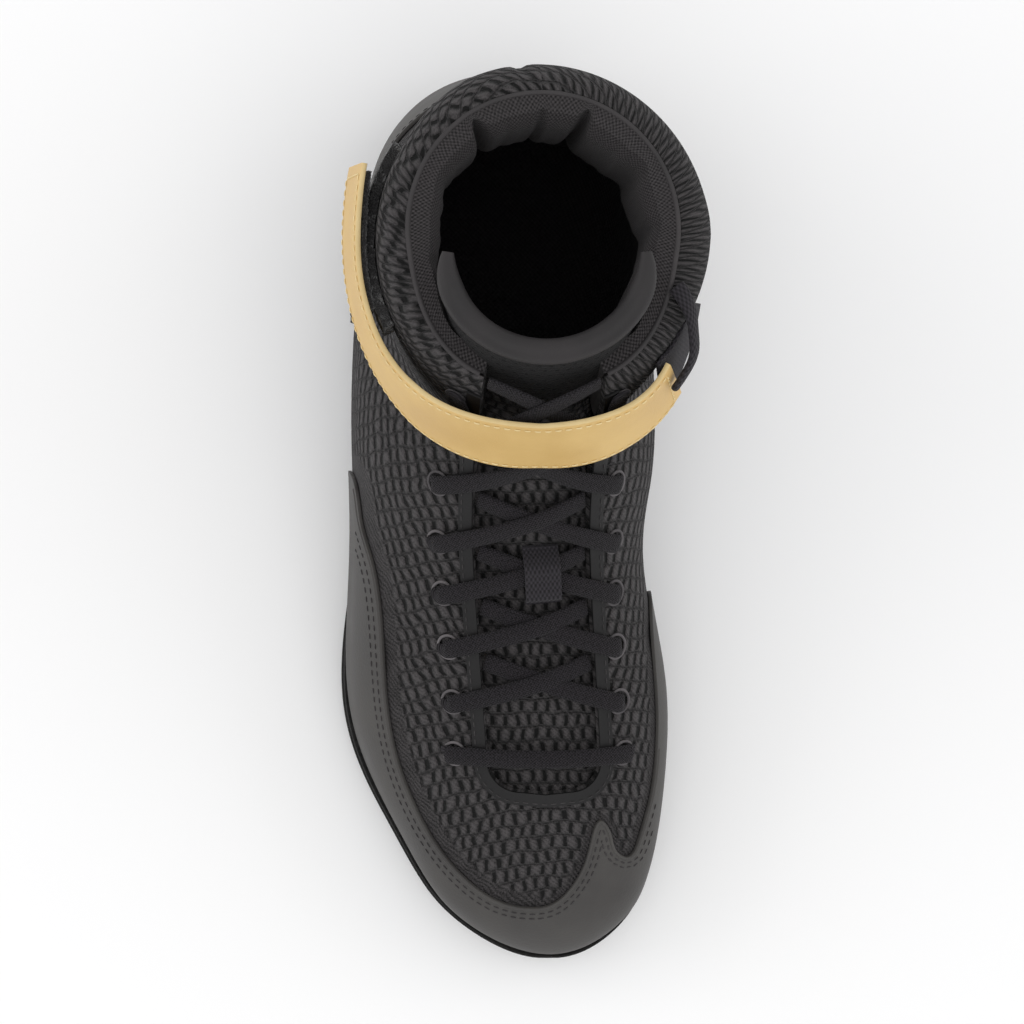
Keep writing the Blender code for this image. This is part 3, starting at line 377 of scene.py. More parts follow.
def outline_distance(flat, outline):
    """Distance of plan or side points from a closed outline, + inside it."""
    a = outline
    b = np.roll(outline, -1, axis=0)
    run = b - a
    size = np.maximum((run ** 2).sum(axis=1), 1e-18)
    result = np.empty(len(flat))
    for start in range(0, len(flat), 3000):
        p = flat[start:start + 3000]
        rel = p[:, None, :] - a[None]
        t = np.clip((rel * run[None]).sum(axis=2) / size, 0.0, 1.0)
        near = np.sqrt(((rel - t[..., None] * run[None]) ** 2).sum(axis=2)).min(axis=1)
        above = (a[None, :, 1] > p[:, None, 1]) != (b[None, :, 1] > p[:, None, 1])
        rise = np.where(np.abs(run[:, 1]) < 1e-15, 1e-15, run[:, 1])
        cross = a[None, :, 0] + (p[:, None, 1] - a[None, :, 1]) / rise[None] * run[None, :, 0]
        inside = (above & (p[:, None, 0] < cross)).sum(axis=1) % 2 == 1
        result[start:start + 3000] = np.where(inside, near, -near)
    return result


def gap_inside(points, outline, first=0):
    """How far last points lie inside a plan outline, or a side one where first is 1."""
    flat = points[..., first:first + 2].reshape(-1, 2)
    return outline_distance(flat, outline).reshape(points.shape[:-1])


def clear_selection():
    bpy.ops.object.select_all(action="DESELECT")


def use(piece):
    clear_selection()
    piece.select_set(True)
    bpy.context.view_layer.objects.active = piece


def in_edit_mode(piece, *steps):
    """Runs edit-mode operators on the whole piece."""
    use(piece)
    bpy.ops.object.mode_set(mode="EDIT")
    bpy.ops.mesh.select_all(action="SELECT")
    for operator, settings in steps:
        operator(**settings)
    bpy.ops.object.mode_set(mode="OBJECT")


def flip(piece):
    in_edit_mode(piece, (bpy.ops.mesh.flip_normals, {}))


CLOSE_SEAM = ((bpy.ops.mesh.remove_doubles, {"threshold": 0.000005}),
              (bpy.ops.mesh.normals_make_consistent, {"inside": False}))
MERGE_POINTS = (bpy.ops.mesh.remove_doubles, {"threshold": 0.00002})


def grid_piece(name, points, chart, keep=None):
    """A grid primitive whose points are put in place; squares outside keep are deleted."""
    rows, columns = points.shape[:2]
    clear_selection()
    bpy.ops.mesh.primitive_grid_add(x_subdivisions=columns - 1, y_subdivisions=rows - 1, size=2.0)
    piece = bpy.context.object
    piece.name = name
    mesh = piece.data
    mesh.name = name
    flat = np.empty(len(mesh.vertices) * 3)
    mesh.vertices.foreach_get("co", flat)
    flat = flat.reshape(-1, 3)
    j = np.rint((flat[:, 0] + 1.0) / 2.0 * (columns - 1)).astype(int)
    i = np.rint((flat[:, 1] + 1.0) / 2.0 * (rows - 1)).astype(int)
    mesh.vertices.foreach_set("co", points[i, j].ravel())
    corner = np.empty(len(mesh.loops), dtype=np.int32)
    mesh.loops.foreach_get("vertex_index", corner)
    mesh.uv_layers[0].data.foreach_set("uv", chart[i, j][corner].ravel())
    mesh.update()
    if keep is not None:
        face = np.empty(len(mesh.polygons) * 4, dtype=np.int32)
        mesh.polygons.foreach_get("vertices", face)
        gone = ~keep[i, j][face.reshape(-1, 4)].any(axis=1)
        mesh.polygons.foreach_set("select", gone)
        mesh.edges.foreach_set("select", np.zeros(len(mesh.edges), dtype=bool))
        mesh.vertices.foreach_set("select", np.zeros(len(mesh.vertices), dtype=bool))
        use(piece)
        bpy.ops.object.mode_set(mode="EDIT")
        bpy.context.tool_settings.mesh_select_mode = (False, False, True)
        bpy.ops.mesh.delete(type="FACE")
        bpy.ops.object.mode_set(mode="OBJECT")
    return piece


def mesh_step(piece, kind, **settings):
    """Adds a modifier and applies it."""
    use(piece)
    step = piece.modifiers.new(kind, kind)
    for key, value in settings.items():
        setattr(step, key, value)
    bpy.ops.object.modifier_apply(modifier=step.name)


def trimmed_sheet(name, stations, shares, rise, inside, thick=0.0, edge=0.0):
    """A sheet of cloth or leather laid at a height over the last and trimmed to where
    inside(points, stations, turns) is positive. thick grows outwards."""
    turns, walked = even_turns(stations, shares)
    grid_s = np.repeat(stations[:, None], len(shares), axis=1)
    points = last_point(grid_s, turns)
    laid = skin(grid_s, turns, -roll_depth(grid_s, turns))
    chart_v = np.concatenate([np.zeros((1, len(shares))),
                              np.cumsum(np.linalg.norm(np.diff(laid, axis=0), axis=-1), axis=0)])
    gap = inside(points, grid_s, turns)
    keep = gap > 0.0
    near = np.zeros_like(keep)
    for di in (-1, 0, 1):
        for dj in (-1, 0, 1):
            near |= np.roll(np.roll(keep, di, axis=0), dj, axis=1)
    slide = near & ~keep
    s = grid_s[slide]
    a = turns[slide]
    for _ in range(7):
        here = last_point(s, a)
        f = inside(here, s, a)
        ps = last_point(s + 0.002, a)
        pa = last_point(s, a + 0.004)
        size_s = np.maximum(np.linalg.norm(ps - here, axis=1), 1e-7)
        size_a = np.maximum(np.linalg.norm(pa - here, axis=1), 1e-7)
        slope_s = (inside(ps, s + 0.002, a) - f) / size_s
        slope_a = (inside(pa, s, a + 0.004) - f) / size_a
        both = np.maximum(slope_s ** 2 + slope_a ** 2, 0.05)
        step = np.clip(-f / both, -0.002, 0.002)
        s = s + np.clip(step * slope_s, -0.002, 0.002) * 0.002 / size_s
        a = a + np.clip(step * slope_a, -0.002, 0.002) * 0.004 / size_a
    grid_s[slide] = s
    turns[slide] = a
    top = rise(grid_s, turns) if callable(rise) else np.full(grid_s.shape, rise)
    piece = grid_piece(name, skin(grid_s, turns, top), np.stack([walked, chart_v], axis=-1) / MM, keep)
    in_edit_mode(piece, MERGE_POINTS)
    face_out(piece, grid_s, turns)
    if thick:
        mesh_step(piece, "SOLIDIFY", thickness=thick, offset=1.0, use_even_offset=False,
                  material_offset_rim=0)
    if edge:
        mesh_step(piece, "BEVEL", width=edge, segments=2, limit_method="ANGLE", angle_limit=0.8)
    return smooth(piece)


def mesh_points(piece):
    flat = np.empty(len(piece.data.vertices) * 3)
    piece.data.vertices.foreach_get("co", flat)
    return flat.reshape(-1, 3)


def write_attribute(piece, name, values):
    """One number for each point, for a material to read."""
    piece.data.attributes.new(name, "FLOAT", "POINT")
    piece.data.attributes[name].data.foreach_set("value", np.asarray(values, float))


def face_out(piece, stations, turns):
    """Turns the whole sheet over if its faces look inwards."""
    mesh = piece.data
    face = mesh.polygons[len(mesh.polygons) // 2]
    middle = np.array(face.center)
    points = last_point(stations, turns)
    near = np.argmin(((points - middle) ** 2).sum(axis=-1))
    out = last_normal(stations.ravel()[near], turns.ravel()[near])
    if float(np.dot(out, np.array(face.normal))) < 0.0:
        flip(piece)


def smooth(piece, angle=50.0):
    use(piece)
    bpy.ops.object.shade_smooth_by_angle(angle=math.radians(angle))
    return piece


def triangle_count(piece):
    return sum(len(p.vertices) - 2 for p in piece.data.polygons)


def place_piece(piece, material, slot, *nodes):
    """Gives the finish, rides on the frame and stands for the CAD nodes."""
    if not piece.data.materials:
        piece.data.materials.append(material)
    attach(piece, "root")
    if nodes:
        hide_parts(*nodes)
    print(piece.name, triangle_count(piece), "triangles")
    return piece


# %% [markdown]
# ## Materials
# Every finish starts from what the real one is. One function turns a hex colour to
# linear light, and one small function adds a node with its settings and links.

# %% Colour and node helpers
def hex_colour(text):
    """An sRGB hex colour as linear red, green, blue, alpha."""
    values = [int(text[k:k + 2], 16) / 255.0 for k in (1, 3, 5)]
    linear = [v / 12.92 if v <= 0.04045 else ((v + 0.055) / 1.055) ** 2.4 for v in values]
    return (*linear, 1.0)


def add_node(tree, kind, inputs=None, **settings):
    """A node with its settings. An input is a value, a node (its first output) or a socket."""
    node = tree.nodes.new(kind)
    for key, value in settings.items():
        setattr(node, key, value)
    for key, value in (inputs or {}).items():
        if isinstance(value, bpy.types.Node):
            value = value.outputs[0]
        if isinstance(value, bpy.types.NodeSocket):
            tree.links.new(value, node.inputs[key])
        else:
            node.inputs[key].default_value = value
    return node


def new_material(name, roughness, sheen=0.0, specular=0.5):
    material = bpy.data.materials.new(name)
    material.use_nodes = True
    shader = material.node_tree.nodes["Principled BSDF"]
    shader.inputs["Roughness"].default_value = roughness
    shader.inputs["Sheen Weight"].default_value = sheen
    shader.inputs["Sheen Roughness"].default_value = 0.6
    shader.inputs["Specular IOR Level"].default_value = specular
    return material, material.node_tree, shader


def join_shader(tree, shader, colour, bump_height, distance, strength=1.0, roughness=None):
    """Links colour, bump and roughness into the shader."""
    tree.links.new(colour.outputs[2] if colour.bl_idname == "ShaderNodeMix" else colour.outputs[0],
                   shader.inputs["Base Color"])
    height = bump_height.outputs[0] if isinstance(bump_height, bpy.types.Node) else bump_height
    bump = add_node(tree, "ShaderNodeBump", {"Height": height, "Distance": distance, "Strength": strength})
    tree.links.new(bump.outputs[0], shader.inputs["Normal"])
    if roughness is not None:
        tree.links.new(roughness.outputs[0], shader.inputs["Roughness"])


# %% [markdown]
# ### Spacer knit
# The upper is a polyester spacer knit: small knitted pads in half-staggered rows, with
# a dark open slot between neighbours, its near black painted shade. The photograph shows
# slots about 3.8 mm apart in rows 4.8 mm high. The chart is in millimetres, so the pads
# are worked out from it with plain arithmetic. Slanted ribs of 1.2 mm give the yarn,
# coarser than the real one of about 0.3 mm, which would not show. The pads' crowns are
# painted lighter, as painted highlight.

# %% Spacer knit material
SLOT_PITCH = 3.8
ROW_HEIGHT = 4.8


def knit_material(name, yarn, yarn_light, slot_shade_colour):
    material, tree, shader = new_material(name, 0.84, sheen=0.04, specular=0.22)
    chart = add_node(tree, "ShaderNodeUVMap")
    warp = add_node(tree, "ShaderNodeTexNoise", {"Vector": chart, "Scale": 0.13, "Detail": 1.0})
    warp_by = add_node(tree, "ShaderNodeVectorMath", {0: warp.outputs["Color"], 1: (0.5, 0.5, 0.5)},
                       operation="SUBTRACT")
    warp_scaled = add_node(tree, "ShaderNodeVectorMath", {0: warp_by, "Scale": 3.2}, operation="SCALE")
    cloth = add_node(tree, "ShaderNodeVectorMath", {0: chart, 1: warp_scaled}, operation="ADD")
    axes = add_node(tree, "ShaderNodeSeparateXYZ", {0: cloth})
    row_at = add_node(tree, "ShaderNodeMath", {0: axes.outputs["Y"], 1: ROW_HEIGHT}, operation="DIVIDE")
    row = add_node(tree, "ShaderNodeMath", {0: row_at}, operation="FLOOR")
    row_part = add_node(tree, "ShaderNodeMath", {0: row_at}, operation="FRACT")
    from_row = add_node(tree, "ShaderNodeMath", {0: row_part, 1: 0.5}, operation="SUBTRACT")
    u_at = add_node(tree, "ShaderNodeMath", {0: axes.outputs["X"], 1: SLOT_PITCH}, operation="DIVIDE")
    lean = add_node(tree, "ShaderNodeAttribute", attribute_name="slant")
    leaned = add_node(tree, "ShaderNodeMath", {0: from_row, 1: lean.outputs["Fac"], 2: u_at},
                      operation="MULTIPLY_ADD")
    stagger = add_node(tree, "ShaderNodeMath", {0: row, 1: 0.5, 2: leaned}, operation="MULTIPLY_ADD")
    slot_part = add_node(tree, "ShaderNodeMath", {0: stagger}, operation="FRACT")
    from_slot = add_node(tree, "ShaderNodeMath", {0: slot_part, 1: 0.5}, operation="SUBTRACT")
    du = add_node(tree, "ShaderNodeMath", {0: from_slot}, operation="ABSOLUTE")
    dv = add_node(tree, "ShaderNodeMath", {0: from_row}, operation="ABSOLUTE")
    zone = add_node(tree, "ShaderNodeAttribute", attribute_name="zone")
    # Painted shade: the open slots, and the thin gaps between rows below, are darkened to near black.
    open_u = add_node(tree, "ShaderNodeMapRange", {"Value": du, 1: 0.10, 2: 0.19, 3: 1.0, 4: 0.0},
                      interpolation_type="SMOOTHSTEP")
    open_v = add_node(tree, "ShaderNodeMapRange", {"Value": dv, 1: 0.30, 2: 0.41, 3: 1.0, 4: 0.0},
                      interpolation_type="SMOOTHSTEP")
    slot = add_node(tree, "ShaderNodeMath", {0: open_u, 1: open_v}, operation="MULTIPLY")
    row_gap = add_node(tree, "ShaderNodeMapRange", {"Value": dv, 1: 0.40, 2: 0.50, 3: 0.0, 4: 0.42},
                       interpolation_type="SMOOTHSTEP")
    gap = add_node(tree, "ShaderNodeMath", {0: slot, 1: row_gap}, operation="MAXIMUM")
    opened = add_node(tree, "ShaderNodeMath", {0: gap, 1: zone.outputs["Fac"]}, operation="MULTIPLY")
    ribs = add_node(tree, "ShaderNodeTexWave", {"Vector": cloth, "Scale": 0.36, "Distortion": 0.7,
                                                "Detail": 1.0, "Detail Scale": 2.0},
                    bands_direction="DIAGONAL")
    yarn_noise = add_node(tree, "ShaderNodeTexNoise", {"Vector": chart, "Scale": 1.9, "Detail": 4.0})
    rib_part = add_node(tree, "ShaderNodeMath", {0: ribs.outputs["Fac"], 1: 0.22}, operation="MULTIPLY")
    yarn_height = add_node(tree, "ShaderNodeMath", {0: yarn_noise.outputs["Fac"], 1: 1.1, 2: rib_part},
                           operation="MULTIPLY_ADD")
    dome_u = add_node(tree, "ShaderNodeMapRange", {"Value": du, 1: 0.06, 2: 0.42, 3: 0.0, 4: 1.0},
                      interpolation_type="SMOOTHSTEP")
    dome_v = add_node(tree, "ShaderNodeMapRange", {"Value": dv, 1: 0.18, 2: 0.5, 3: 1.0, 4: 0.25},
                      interpolation_type="SMOOTHSTEP")
    dome = add_node(tree, "ShaderNodeMath", {0: dome_u, 1: dome_v}, operation="MULTIPLY")
    dome_zone = add_node(tree, "ShaderNodeMath", {0: dome, 1: zone.outputs["Fac"]}, operation="MULTIPLY")
    raised = add_node(tree, "ShaderNodeMath", {0: yarn_height, 1: 0.30, 2: dome_zone},
                      operation="MULTIPLY_ADD")
    height = add_node(tree, "ShaderNodeMath", {0: opened, 1: -1.5, 2: raised}, operation="MULTIPLY_ADD")
    patches = add_node(tree, "ShaderNodeTexNoise", {"Vector": chart, "Scale": 0.16, "Detail": 2.0})
    tone = add_node(tree, "ShaderNodeMath", {0: patches.outputs["Fac"], 1: 0.30, 2: yarn_height},
                    operation="MULTIPLY_ADD")
    # Painted highlight: the pads' domed crowns are mixed lighter than their edges.
    tone_with_painted_crown_highlight = add_node(tree, "ShaderNodeMath", {0: dome_zone, 1: 0.30, 2: tone}, operation="MULTIPLY_ADD")
    tone_part = add_node(tree, "ShaderNodeMapRange", {"Value": tone_with_painted_crown_highlight, 1: 0.58, 2: 1.18})
    base = add_node(tree, "ShaderNodeMix", {0: tone_part, 6: yarn, 7: yarn_light}, data_type="RGBA")
    # Painted shade: the slot colour is mixed in where the slots and row gaps open.
    colour = add_node(tree, "ShaderNodeMix", {0: opened, 6: base.outputs[2], 7: slot_shade_colour},
                      data_type="RGBA")
    join_shader(tree, shader, colour, height, 0.0009)
    return material


# Polyester spacer knit, 2.2 mm thick: matt yarn in pads 3.8 mm apart, with dark slots
# between them painted near black as painted shade. The pads' crowns are painted lighter
# as painted highlight, so the eye sees rows of small lit lips over near black.
KNIT = knit_material("spacer_knit", hex_colour("#090808"), hex_colour("#484546"), hex_colour("#010101"))


# %% [markdown]
# ### The other finishes
# Leather here is a coated synthetic: matte, with a grain of about 0.6 mm and soft wear.
# Lining, webbing and laces are woven, so two crossing waves on the chart give the
# threads, with painted highlight on their crowns and painted shade between them.
# Rubber is matte and pebbled. Hook and loop tape is a dark fuzz.

# %% Leather, woven cloth, rubber and fuzz
def leather_material(name, colour, light, roughness=0.58, grain=0.6):
    material, tree, shader = new_material(name, roughness, specular=0.35)
    place = add_node(tree, "ShaderNodeTexCoord").outputs["Object"]
    cells = add_node(tree, "ShaderNodeTexVoronoi",
                     {"Vector": place, "Scale": 1000.0 / grain, "Randomness": 1.0})
    clouds = add_node(tree, "ShaderNodeTexNoise", {"Vector": place, "Scale": 55.0, "Detail": 4.0})
    fine = add_node(tree, "ShaderNodeTexNoise", {"Vector": place, "Scale": 900.0, "Detail": 3.0})
    part = add_node(tree, "ShaderNodeMapRange", {"Value": clouds.outputs["Fac"], 1: 0.3, 2: 0.7})
    base = add_node(tree, "ShaderNodeMix", {0: part, 6: colour, 7: light}, data_type="RGBA")
    grain_height = add_node(tree, "ShaderNodeMath", {0: cells.outputs["Distance"], 1: 0.5,
                                                     2: fine.outputs["Fac"]}, operation="MULTIPLY_ADD")
    rough = add_node(tree, "ShaderNodeMapRange", {"Value": clouds.outputs["Fac"], 1: 0.3, 2: 0.7,
                                                  3: roughness - 0.07, 4: roughness + 0.07})
    join_shader(tree, shader, base, grain_height, 0.00008, roughness=rough)
    return material


def woven_material(name, colour, light, across, along, depth=0.00025, sheen=0.04, speckle=0.5, grain=1.1):
    """Cloth of crossing threads; across and along are the thread spacings in mm."""
    material, tree, shader = new_material(name, 0.85, sheen=sheen, specular=0.18)
    chart = add_node(tree, "ShaderNodeUVMap")
    axes = add_node(tree, "ShaderNodeSeparateXYZ", {0: chart})
    waves = []
    for socket, pitch in (("X", across), ("Y", along)):
        turn = add_node(tree, "ShaderNodeMath", {0: axes.outputs[socket], 1: 2.0 * math.pi / pitch},
                        operation="MULTIPLY")
        waves.append(add_node(tree, "ShaderNodeMath", {0: turn}, operation="SINE"))
    weave = add_node(tree, "ShaderNodeMath", {0: waves[0], 1: waves[1]}, operation="MULTIPLY")
    weave_part = add_node(tree, "ShaderNodeMapRange", {"Value": weave, 1: -1.0, 2: 1.0})
    noise = add_node(tree, "ShaderNodeTexNoise", {"Vector": chart, "Scale": grain, "Detail": 3.0})
    spread = add_node(tree, "ShaderNodeMath", {0: noise.outputs["Fac"], 1: 0.5}, operation="SUBTRACT")
    # Painted highlight and shade: the colour follows the weave's bump, lighter on the thread crowns and
    # darker between them; the noise speckle on top is yarn tone.
    tone = add_node(tree, "ShaderNodeMath", {0: spread, 1: speckle, 2: weave_part},
                    operation="MULTIPLY_ADD")
    part = add_node(tree, "ShaderNodeMapRange", {"Value": tone, 1: 0.0, 2: 1.0})
    base = add_node(tree, "ShaderNodeMix", {0: part, 6: colour, 7: light}, data_type="RGBA")
    join_shader(tree, shader, base, weave_part, depth)
    return material


def punched_material(name, colour, light):
    """Cloth with staggered pinholes, 3.4 mm apart and 1.1 mm across, painted near black inside as painted
    shade.
    """
    material, tree, shader = new_material(name, 0.8, sheen=0.04, specular=0.2)
    chart = add_node(tree, "ShaderNodeUVMap")
    axes = add_node(tree, "ShaderNodeSeparateXYZ", {0: chart})
    row_at = add_node(tree, "ShaderNodeMath", {0: axes.outputs["Y"], 1: 3.0}, operation="DIVIDE")
    row = add_node(tree, "ShaderNodeMath", {0: row_at}, operation="FLOOR")
    row_part = add_node(tree, "ShaderNodeMath", {0: row_at}, operation="FRACT")
    u_at = add_node(tree, "ShaderNodeMath", {0: axes.outputs["X"], 1: 3.4}, operation="DIVIDE")
    stagger = add_node(tree, "ShaderNodeMath", {0: row, 1: 0.5, 2: u_at}, operation="MULTIPLY_ADD")
    part = add_node(tree, "ShaderNodeMath", {0: stagger}, operation="FRACT")
    spot = add_node(tree, "ShaderNodeCombineXYZ", {0: part, 1: row_part})
    away = add_node(tree, "ShaderNodeVectorMath", {0: spot, 1: (0.5, 0.5, 0.0)}, operation="DISTANCE")
    hole = add_node(tree, "ShaderNodeMapRange", {"Value": away.outputs["Value"], 1: 0.13, 2: 0.21,
                                                 3: 1.0, 4: 0.0}, interpolation_type="SMOOTHSTEP")
    noise = add_node(tree, "ShaderNodeTexNoise", {"Vector": chart, "Scale": 1.4, "Detail": 3.0})
    base = add_node(tree, "ShaderNodeMix", {0: noise.outputs["Fac"], 6: colour, 7: light}, data_type="RGBA")
    # Painted shade: near black in the holes.
    dark = add_node(tree, "ShaderNodeMix", {0: hole, 6: base.outputs[2], 7: hex_colour("#020202")},
                    data_type="RGBA")
    height = add_node(tree, "ShaderNodeMath", {0: hole, 1: -1.5, 2: noise.outputs["Fac"]},
                      operation="MULTIPLY_ADD")
    join_shader(tree, shader, dark, height, 0.0004)
    return material


def fuzz_material(name, colour, light):
    material, tree, shader = new_material(name, 0.95, sheen=0.4, specular=0.1)
    place = add_node(tree, "ShaderNodeTexCoord").outputs["Object"]
    noise = add_node(tree, "ShaderNodeTexNoise", {"Vector": place, "Scale": 1500.0, "Detail": 4.0})
    base = add_node(tree, "ShaderNodeMix", {0: noise.outputs["Fac"], 6: colour, 7: light}, data_type="RGBA")
    join_shader(tree, shader, base, noise, 0.0008)
    return material


# Split leather with a moulded coat: an even grey, a pore every 0.6 mm, half gloss.
GREY_LEATHER = leather_material("coated_leather_grey", hex_colour("#3a3837"), hex_colour("#474543"))
# The same leather dyed almost black, for the strip round the throat.
BINDING_LEATHER = leather_material("coated_leather_binding", hex_colour("#0a090a"), hex_colour("#151415"))
# The same leather, dark grey, for the roll at the tongue's top.
TONGUE_LEATHER = leather_material("coated_leather_tongue", hex_colour("#1f1d1e"), hex_colour("#2c292a"))
# Coated leather in a warm gold. It is pigment, not metal, so it stays dielectric.
GOLD_LEATHER = leather_material("coated_leather_gold", hex_colour("#cda866"), hex_colour("#dab877"), 0.5)
# Brushed tricot over foam: soft, no gloss, loops about 1.5 mm apart, drawn two to
# three times coarser than real ones so that they show.
LINING = woven_material("tricot_lining", hex_colour("#0f0d0e"), hex_colour("#403d3e"), 1.5, 1.3,
                        speckle=1.6, grain=1.6)
# The insole's cloth, a plain dark weave glued on foam, drawn coarser than real too.
SOCK_CLOTH = woven_material("sock_cloth", hex_colour("#161415"), hex_colour("#282627"), 1.6, 1.6)
# Flat polyester lace: a matt braid that reads as a soft black. Its cells are 1 mm,
# about twice the real ones, so that they show.
LACE_WEAVE = woven_material("polyester_lace", hex_colour("#060506"), hex_colour("#29262a"), 0.95, 1.0, 0.0003,
                            speckle=3.6, grain=1.7)
# Nylon webbing and elastic: ribs across the band and a faint sheen on each rib, partly the
# shader's sheen and partly a painted highlight on each rib's crown.
WEBBING = woven_material("nylon_webbing", hex_colour("#171618"), hex_colour("#363338"), 1.3, 2.3, 0.0003)
# Tricot with punched air holes on the tongue's upper face, painted near black inside as painted shade.
PUNCHED_CLOTH = punched_material("punched_tricot", hex_colour("#070607"), hex_colour("#100e0f"))
# The strap's cut edge, where the undyed leather is lighter than the coat.
PALE_EDGE = leather_material("cut_leather_edge", hex_colour("#cdb27c"), hex_colour("#dac391"), 0.75)
# Hook and loop tape: stiff short pile that scatters light, almost black.
HOOK_TAPE = fuzz_material("hook_tape", hex_colour("#090809"), hex_colour("#232122"))
# Polyester thread, bonded and slightly glossy, in grey, pale grey and gold.
THREAD = leather_material("polyester_thread", hex_colour("#2b292a"), hex_colour("#3d3a3b"), 0.7, 0.3)
EYELET_THREAD = leather_material("polyester_thread_eyelet", hex_colour("#454244"), hex_colour("#6f6b6d"),
                                 0.8, 0.4)
GOLD_THREAD = leather_material("polyester_thread_gold", hex_colour("#dcc48c"), hex_colour("#e9d6a6"),
                               0.6, 0.3)
print("finishes made:", len(bpy.data.materials))


def rubber_material():
    material, tree, shader = new_material("vulcanised_rubber", 0.7, specular=0.2)
    place = add_node(tree, "ShaderNodeTexCoord").outputs["Object"]
    pebbles = add_node(tree, "ShaderNodeTexVoronoi", {"Vector": place, "Scale": 900.0},
                       feature="SMOOTH_F1")
    dust = add_node(tree, "ShaderNodeTexNoise", {"Vector": place, "Scale": 120.0, "Detail": 5.0})
    part = add_node(tree, "ShaderNodeMapRange", {"Value": dust.outputs["Fac"], 1: 0.35, 2: 0.75})
    base = add_node(tree, "ShaderNodeMix", {0: part, 6: hex_colour("#0c0b0b"), 7: hex_colour("#1a1918")},
                    data_type="RGBA")
    join_shader(tree, shader, base, pebbles.outputs["Distance"], 0.0005)
    return material


RUBBER = rubber_material()

# The floor is a matte painted board, lit so that the camera sees near white
material, tree, shader = new_material("matte_painted_board", 0.9)
place = add_node(tree, "ShaderNodeTexCoord").outputs["Object"]
mottle = add_node(tree, "ShaderNodeTexNoise", {"Vector": place, "Scale": 2.0, "Detail": 1.0})
paint = add_node(tree, "ShaderNodeMix", {0: mottle.outputs["Fac"], 6: hex_colour("#f9f9fa"),
                                         7: hex_colour("#fbfbfb")}, data_type="RGBA")
tree.links.new(paint.outputs[2], shader.inputs["Base Color"])
floor.data.materials.append(material)

# %% [markdown]
# ## The knit upper
# The upper is one tube of spacer knit from the toe to the collar, open at the throat
# and the top. It is laid over the last as one sheet and trimmed along the throat; the
# wall is then grown inwards. Soft folds are set where the real shoe shows them:
# across the toe break, at the ankle and under the collar.

# %% Sizes shared with the frame
WALL = 2.2 * MM
FIT = 0.3 * MM
THROAT_HALF = 17.7 * MM
THROAT_FRONT = -0.306 * UPPER_LENGTH
THROAT_CORNER = 10.0 * MM
BINDING_WIDTH = 3.7 * MM
RIM_HEIGHT = 13.0 * MM
LEATHER = 1.0 * MM
LEATHER_EDGE = 0.35 * MM
BINDING_THICK = 0.8 * MM
TONGUE_GAP = 0.9 * MM
TONGUE_THICK = 3.2 * MM
print("knit wall in mm:", WALL / MM, " leather:", LEATHER / MM)


def throat_outline(half, front, corner, back=0.21 * UPPER_LENGTH):
    """Plan outline of the throat, with a rounded front."""
    stops = np.linspace(front + corner + 1.0 * MM, back, 60)
    turn = np.linspace(0.0, 0.5 * math.pi, 16)
    middle = front + corner
    left = [(-half + corner - corner * math.cos(t), middle - corner * math.sin(t)) for t in turn]
    right = [(-x, y) for x, y in reversed(left)]
    line = [(-half, y) for y in stops[::-1]] + left + [(0.0, front - 0.8 * MM)] + right
    line += [(half, y) for y in stops]
    line = np.array(line) + np.array([0.0, SHIFT[1]])
    line[:, 0] += centre_x(line[:, 1])
    return line


THROAT = throat_outline(THROAT_HALF, THROAT_FRONT, THROAT_CORNER)
BINDING = throat_outline(THROAT_HALF + BINDING_WIDTH, THROAT_FRONT - BINDING_WIDTH,
                         THROAT_CORNER + BINDING_WIDTH)

# Each fold: two ends as station and angle, half width in mm, depth in mm (- is a trough)
FOLDS = (
    ((0.66, -0.50), (0.72, 0.55), 3.0, -0.5),
    ((0.74, -0.75), (0.66, -0.30), 3.0, 0.5),
    ((1.02, -1.35), (1.22, -0.70), 4.0, -0.7),
    ((1.10, 1.35), (1.26, 0.75), 4.0, -0.6),
    ((2.10, -1.30), (2.50, -0.75), 4.5, -1.0),
    ((2.16, -1.75), (2.62, -1.20), 4.5, 0.8),
    ((2.12, 1.30), (2.52, 0.75), 4.5, -0.9),
    ((2.30, 1.90), (2.62, 1.20), 5.0, 0.7),
    ((2.60, -2.30), (2.78, -1.50), 5.0, -0.9),
    ((2.62, 2.30), (2.80, 1.60), 5.0, -0.8),
    ((2.96, 2.60), (3.14, 1.70), 4.0, 0.5),
    ((2.98, -3.03), (3.25, -3.03), 1.7, -1.4),
)


def soft_folds(stations, turns):
    """Height of the soft folds, as smooth troughs and ridges along short lines."""
    points = last_point(stations, turns)
    total = np.zeros(points.shape[:-1])
    for start, end, half, depth in FOLDS:
        a = last_point(*start)
        b = last_point(*end)
        run = b - a
        t = np.clip(((points - a) @ run) / (run @ run), 0.0, 1.0)
        away = np.linalg.norm(points - a - t[..., None] * run, axis=-1)
        fade = np.sin(math.pi * np.clip(0.15 + 0.7 * t, 0.0, 1.0))
        total += depth * MM * fade * np.exp(-(away / (half * MM)) ** 2)
    return total


BULGE = 2.9 * MM
BULGE_STATION = 3.12
BULGE_HALF = 0.105


def upper_rise(stations, turns):
    """The knit's outer face: folds, the padded bulge at the back and the rolled edge."""
    turned = np.mod(turns, 2.0 * math.pi)
    where = np.clip((turned - 1.0) / 0.6, 0.0, 1.0) * np.clip((4.15 - turned) / 0.6, 0.0, 1.0)
    bulge = BULGE * where * np.exp(-((stations - BULGE_STATION) / BULGE_HALF) ** 2)
    return soft_folds(stations, turns) + bulge - roll_depth(stations, turns)


def beside_throat(points, stations, turns):
    """Positive outside the throat."""
    return np.where(np.abs(turns) < 1.35, -gap_inside(points, THROAT), 1.0)
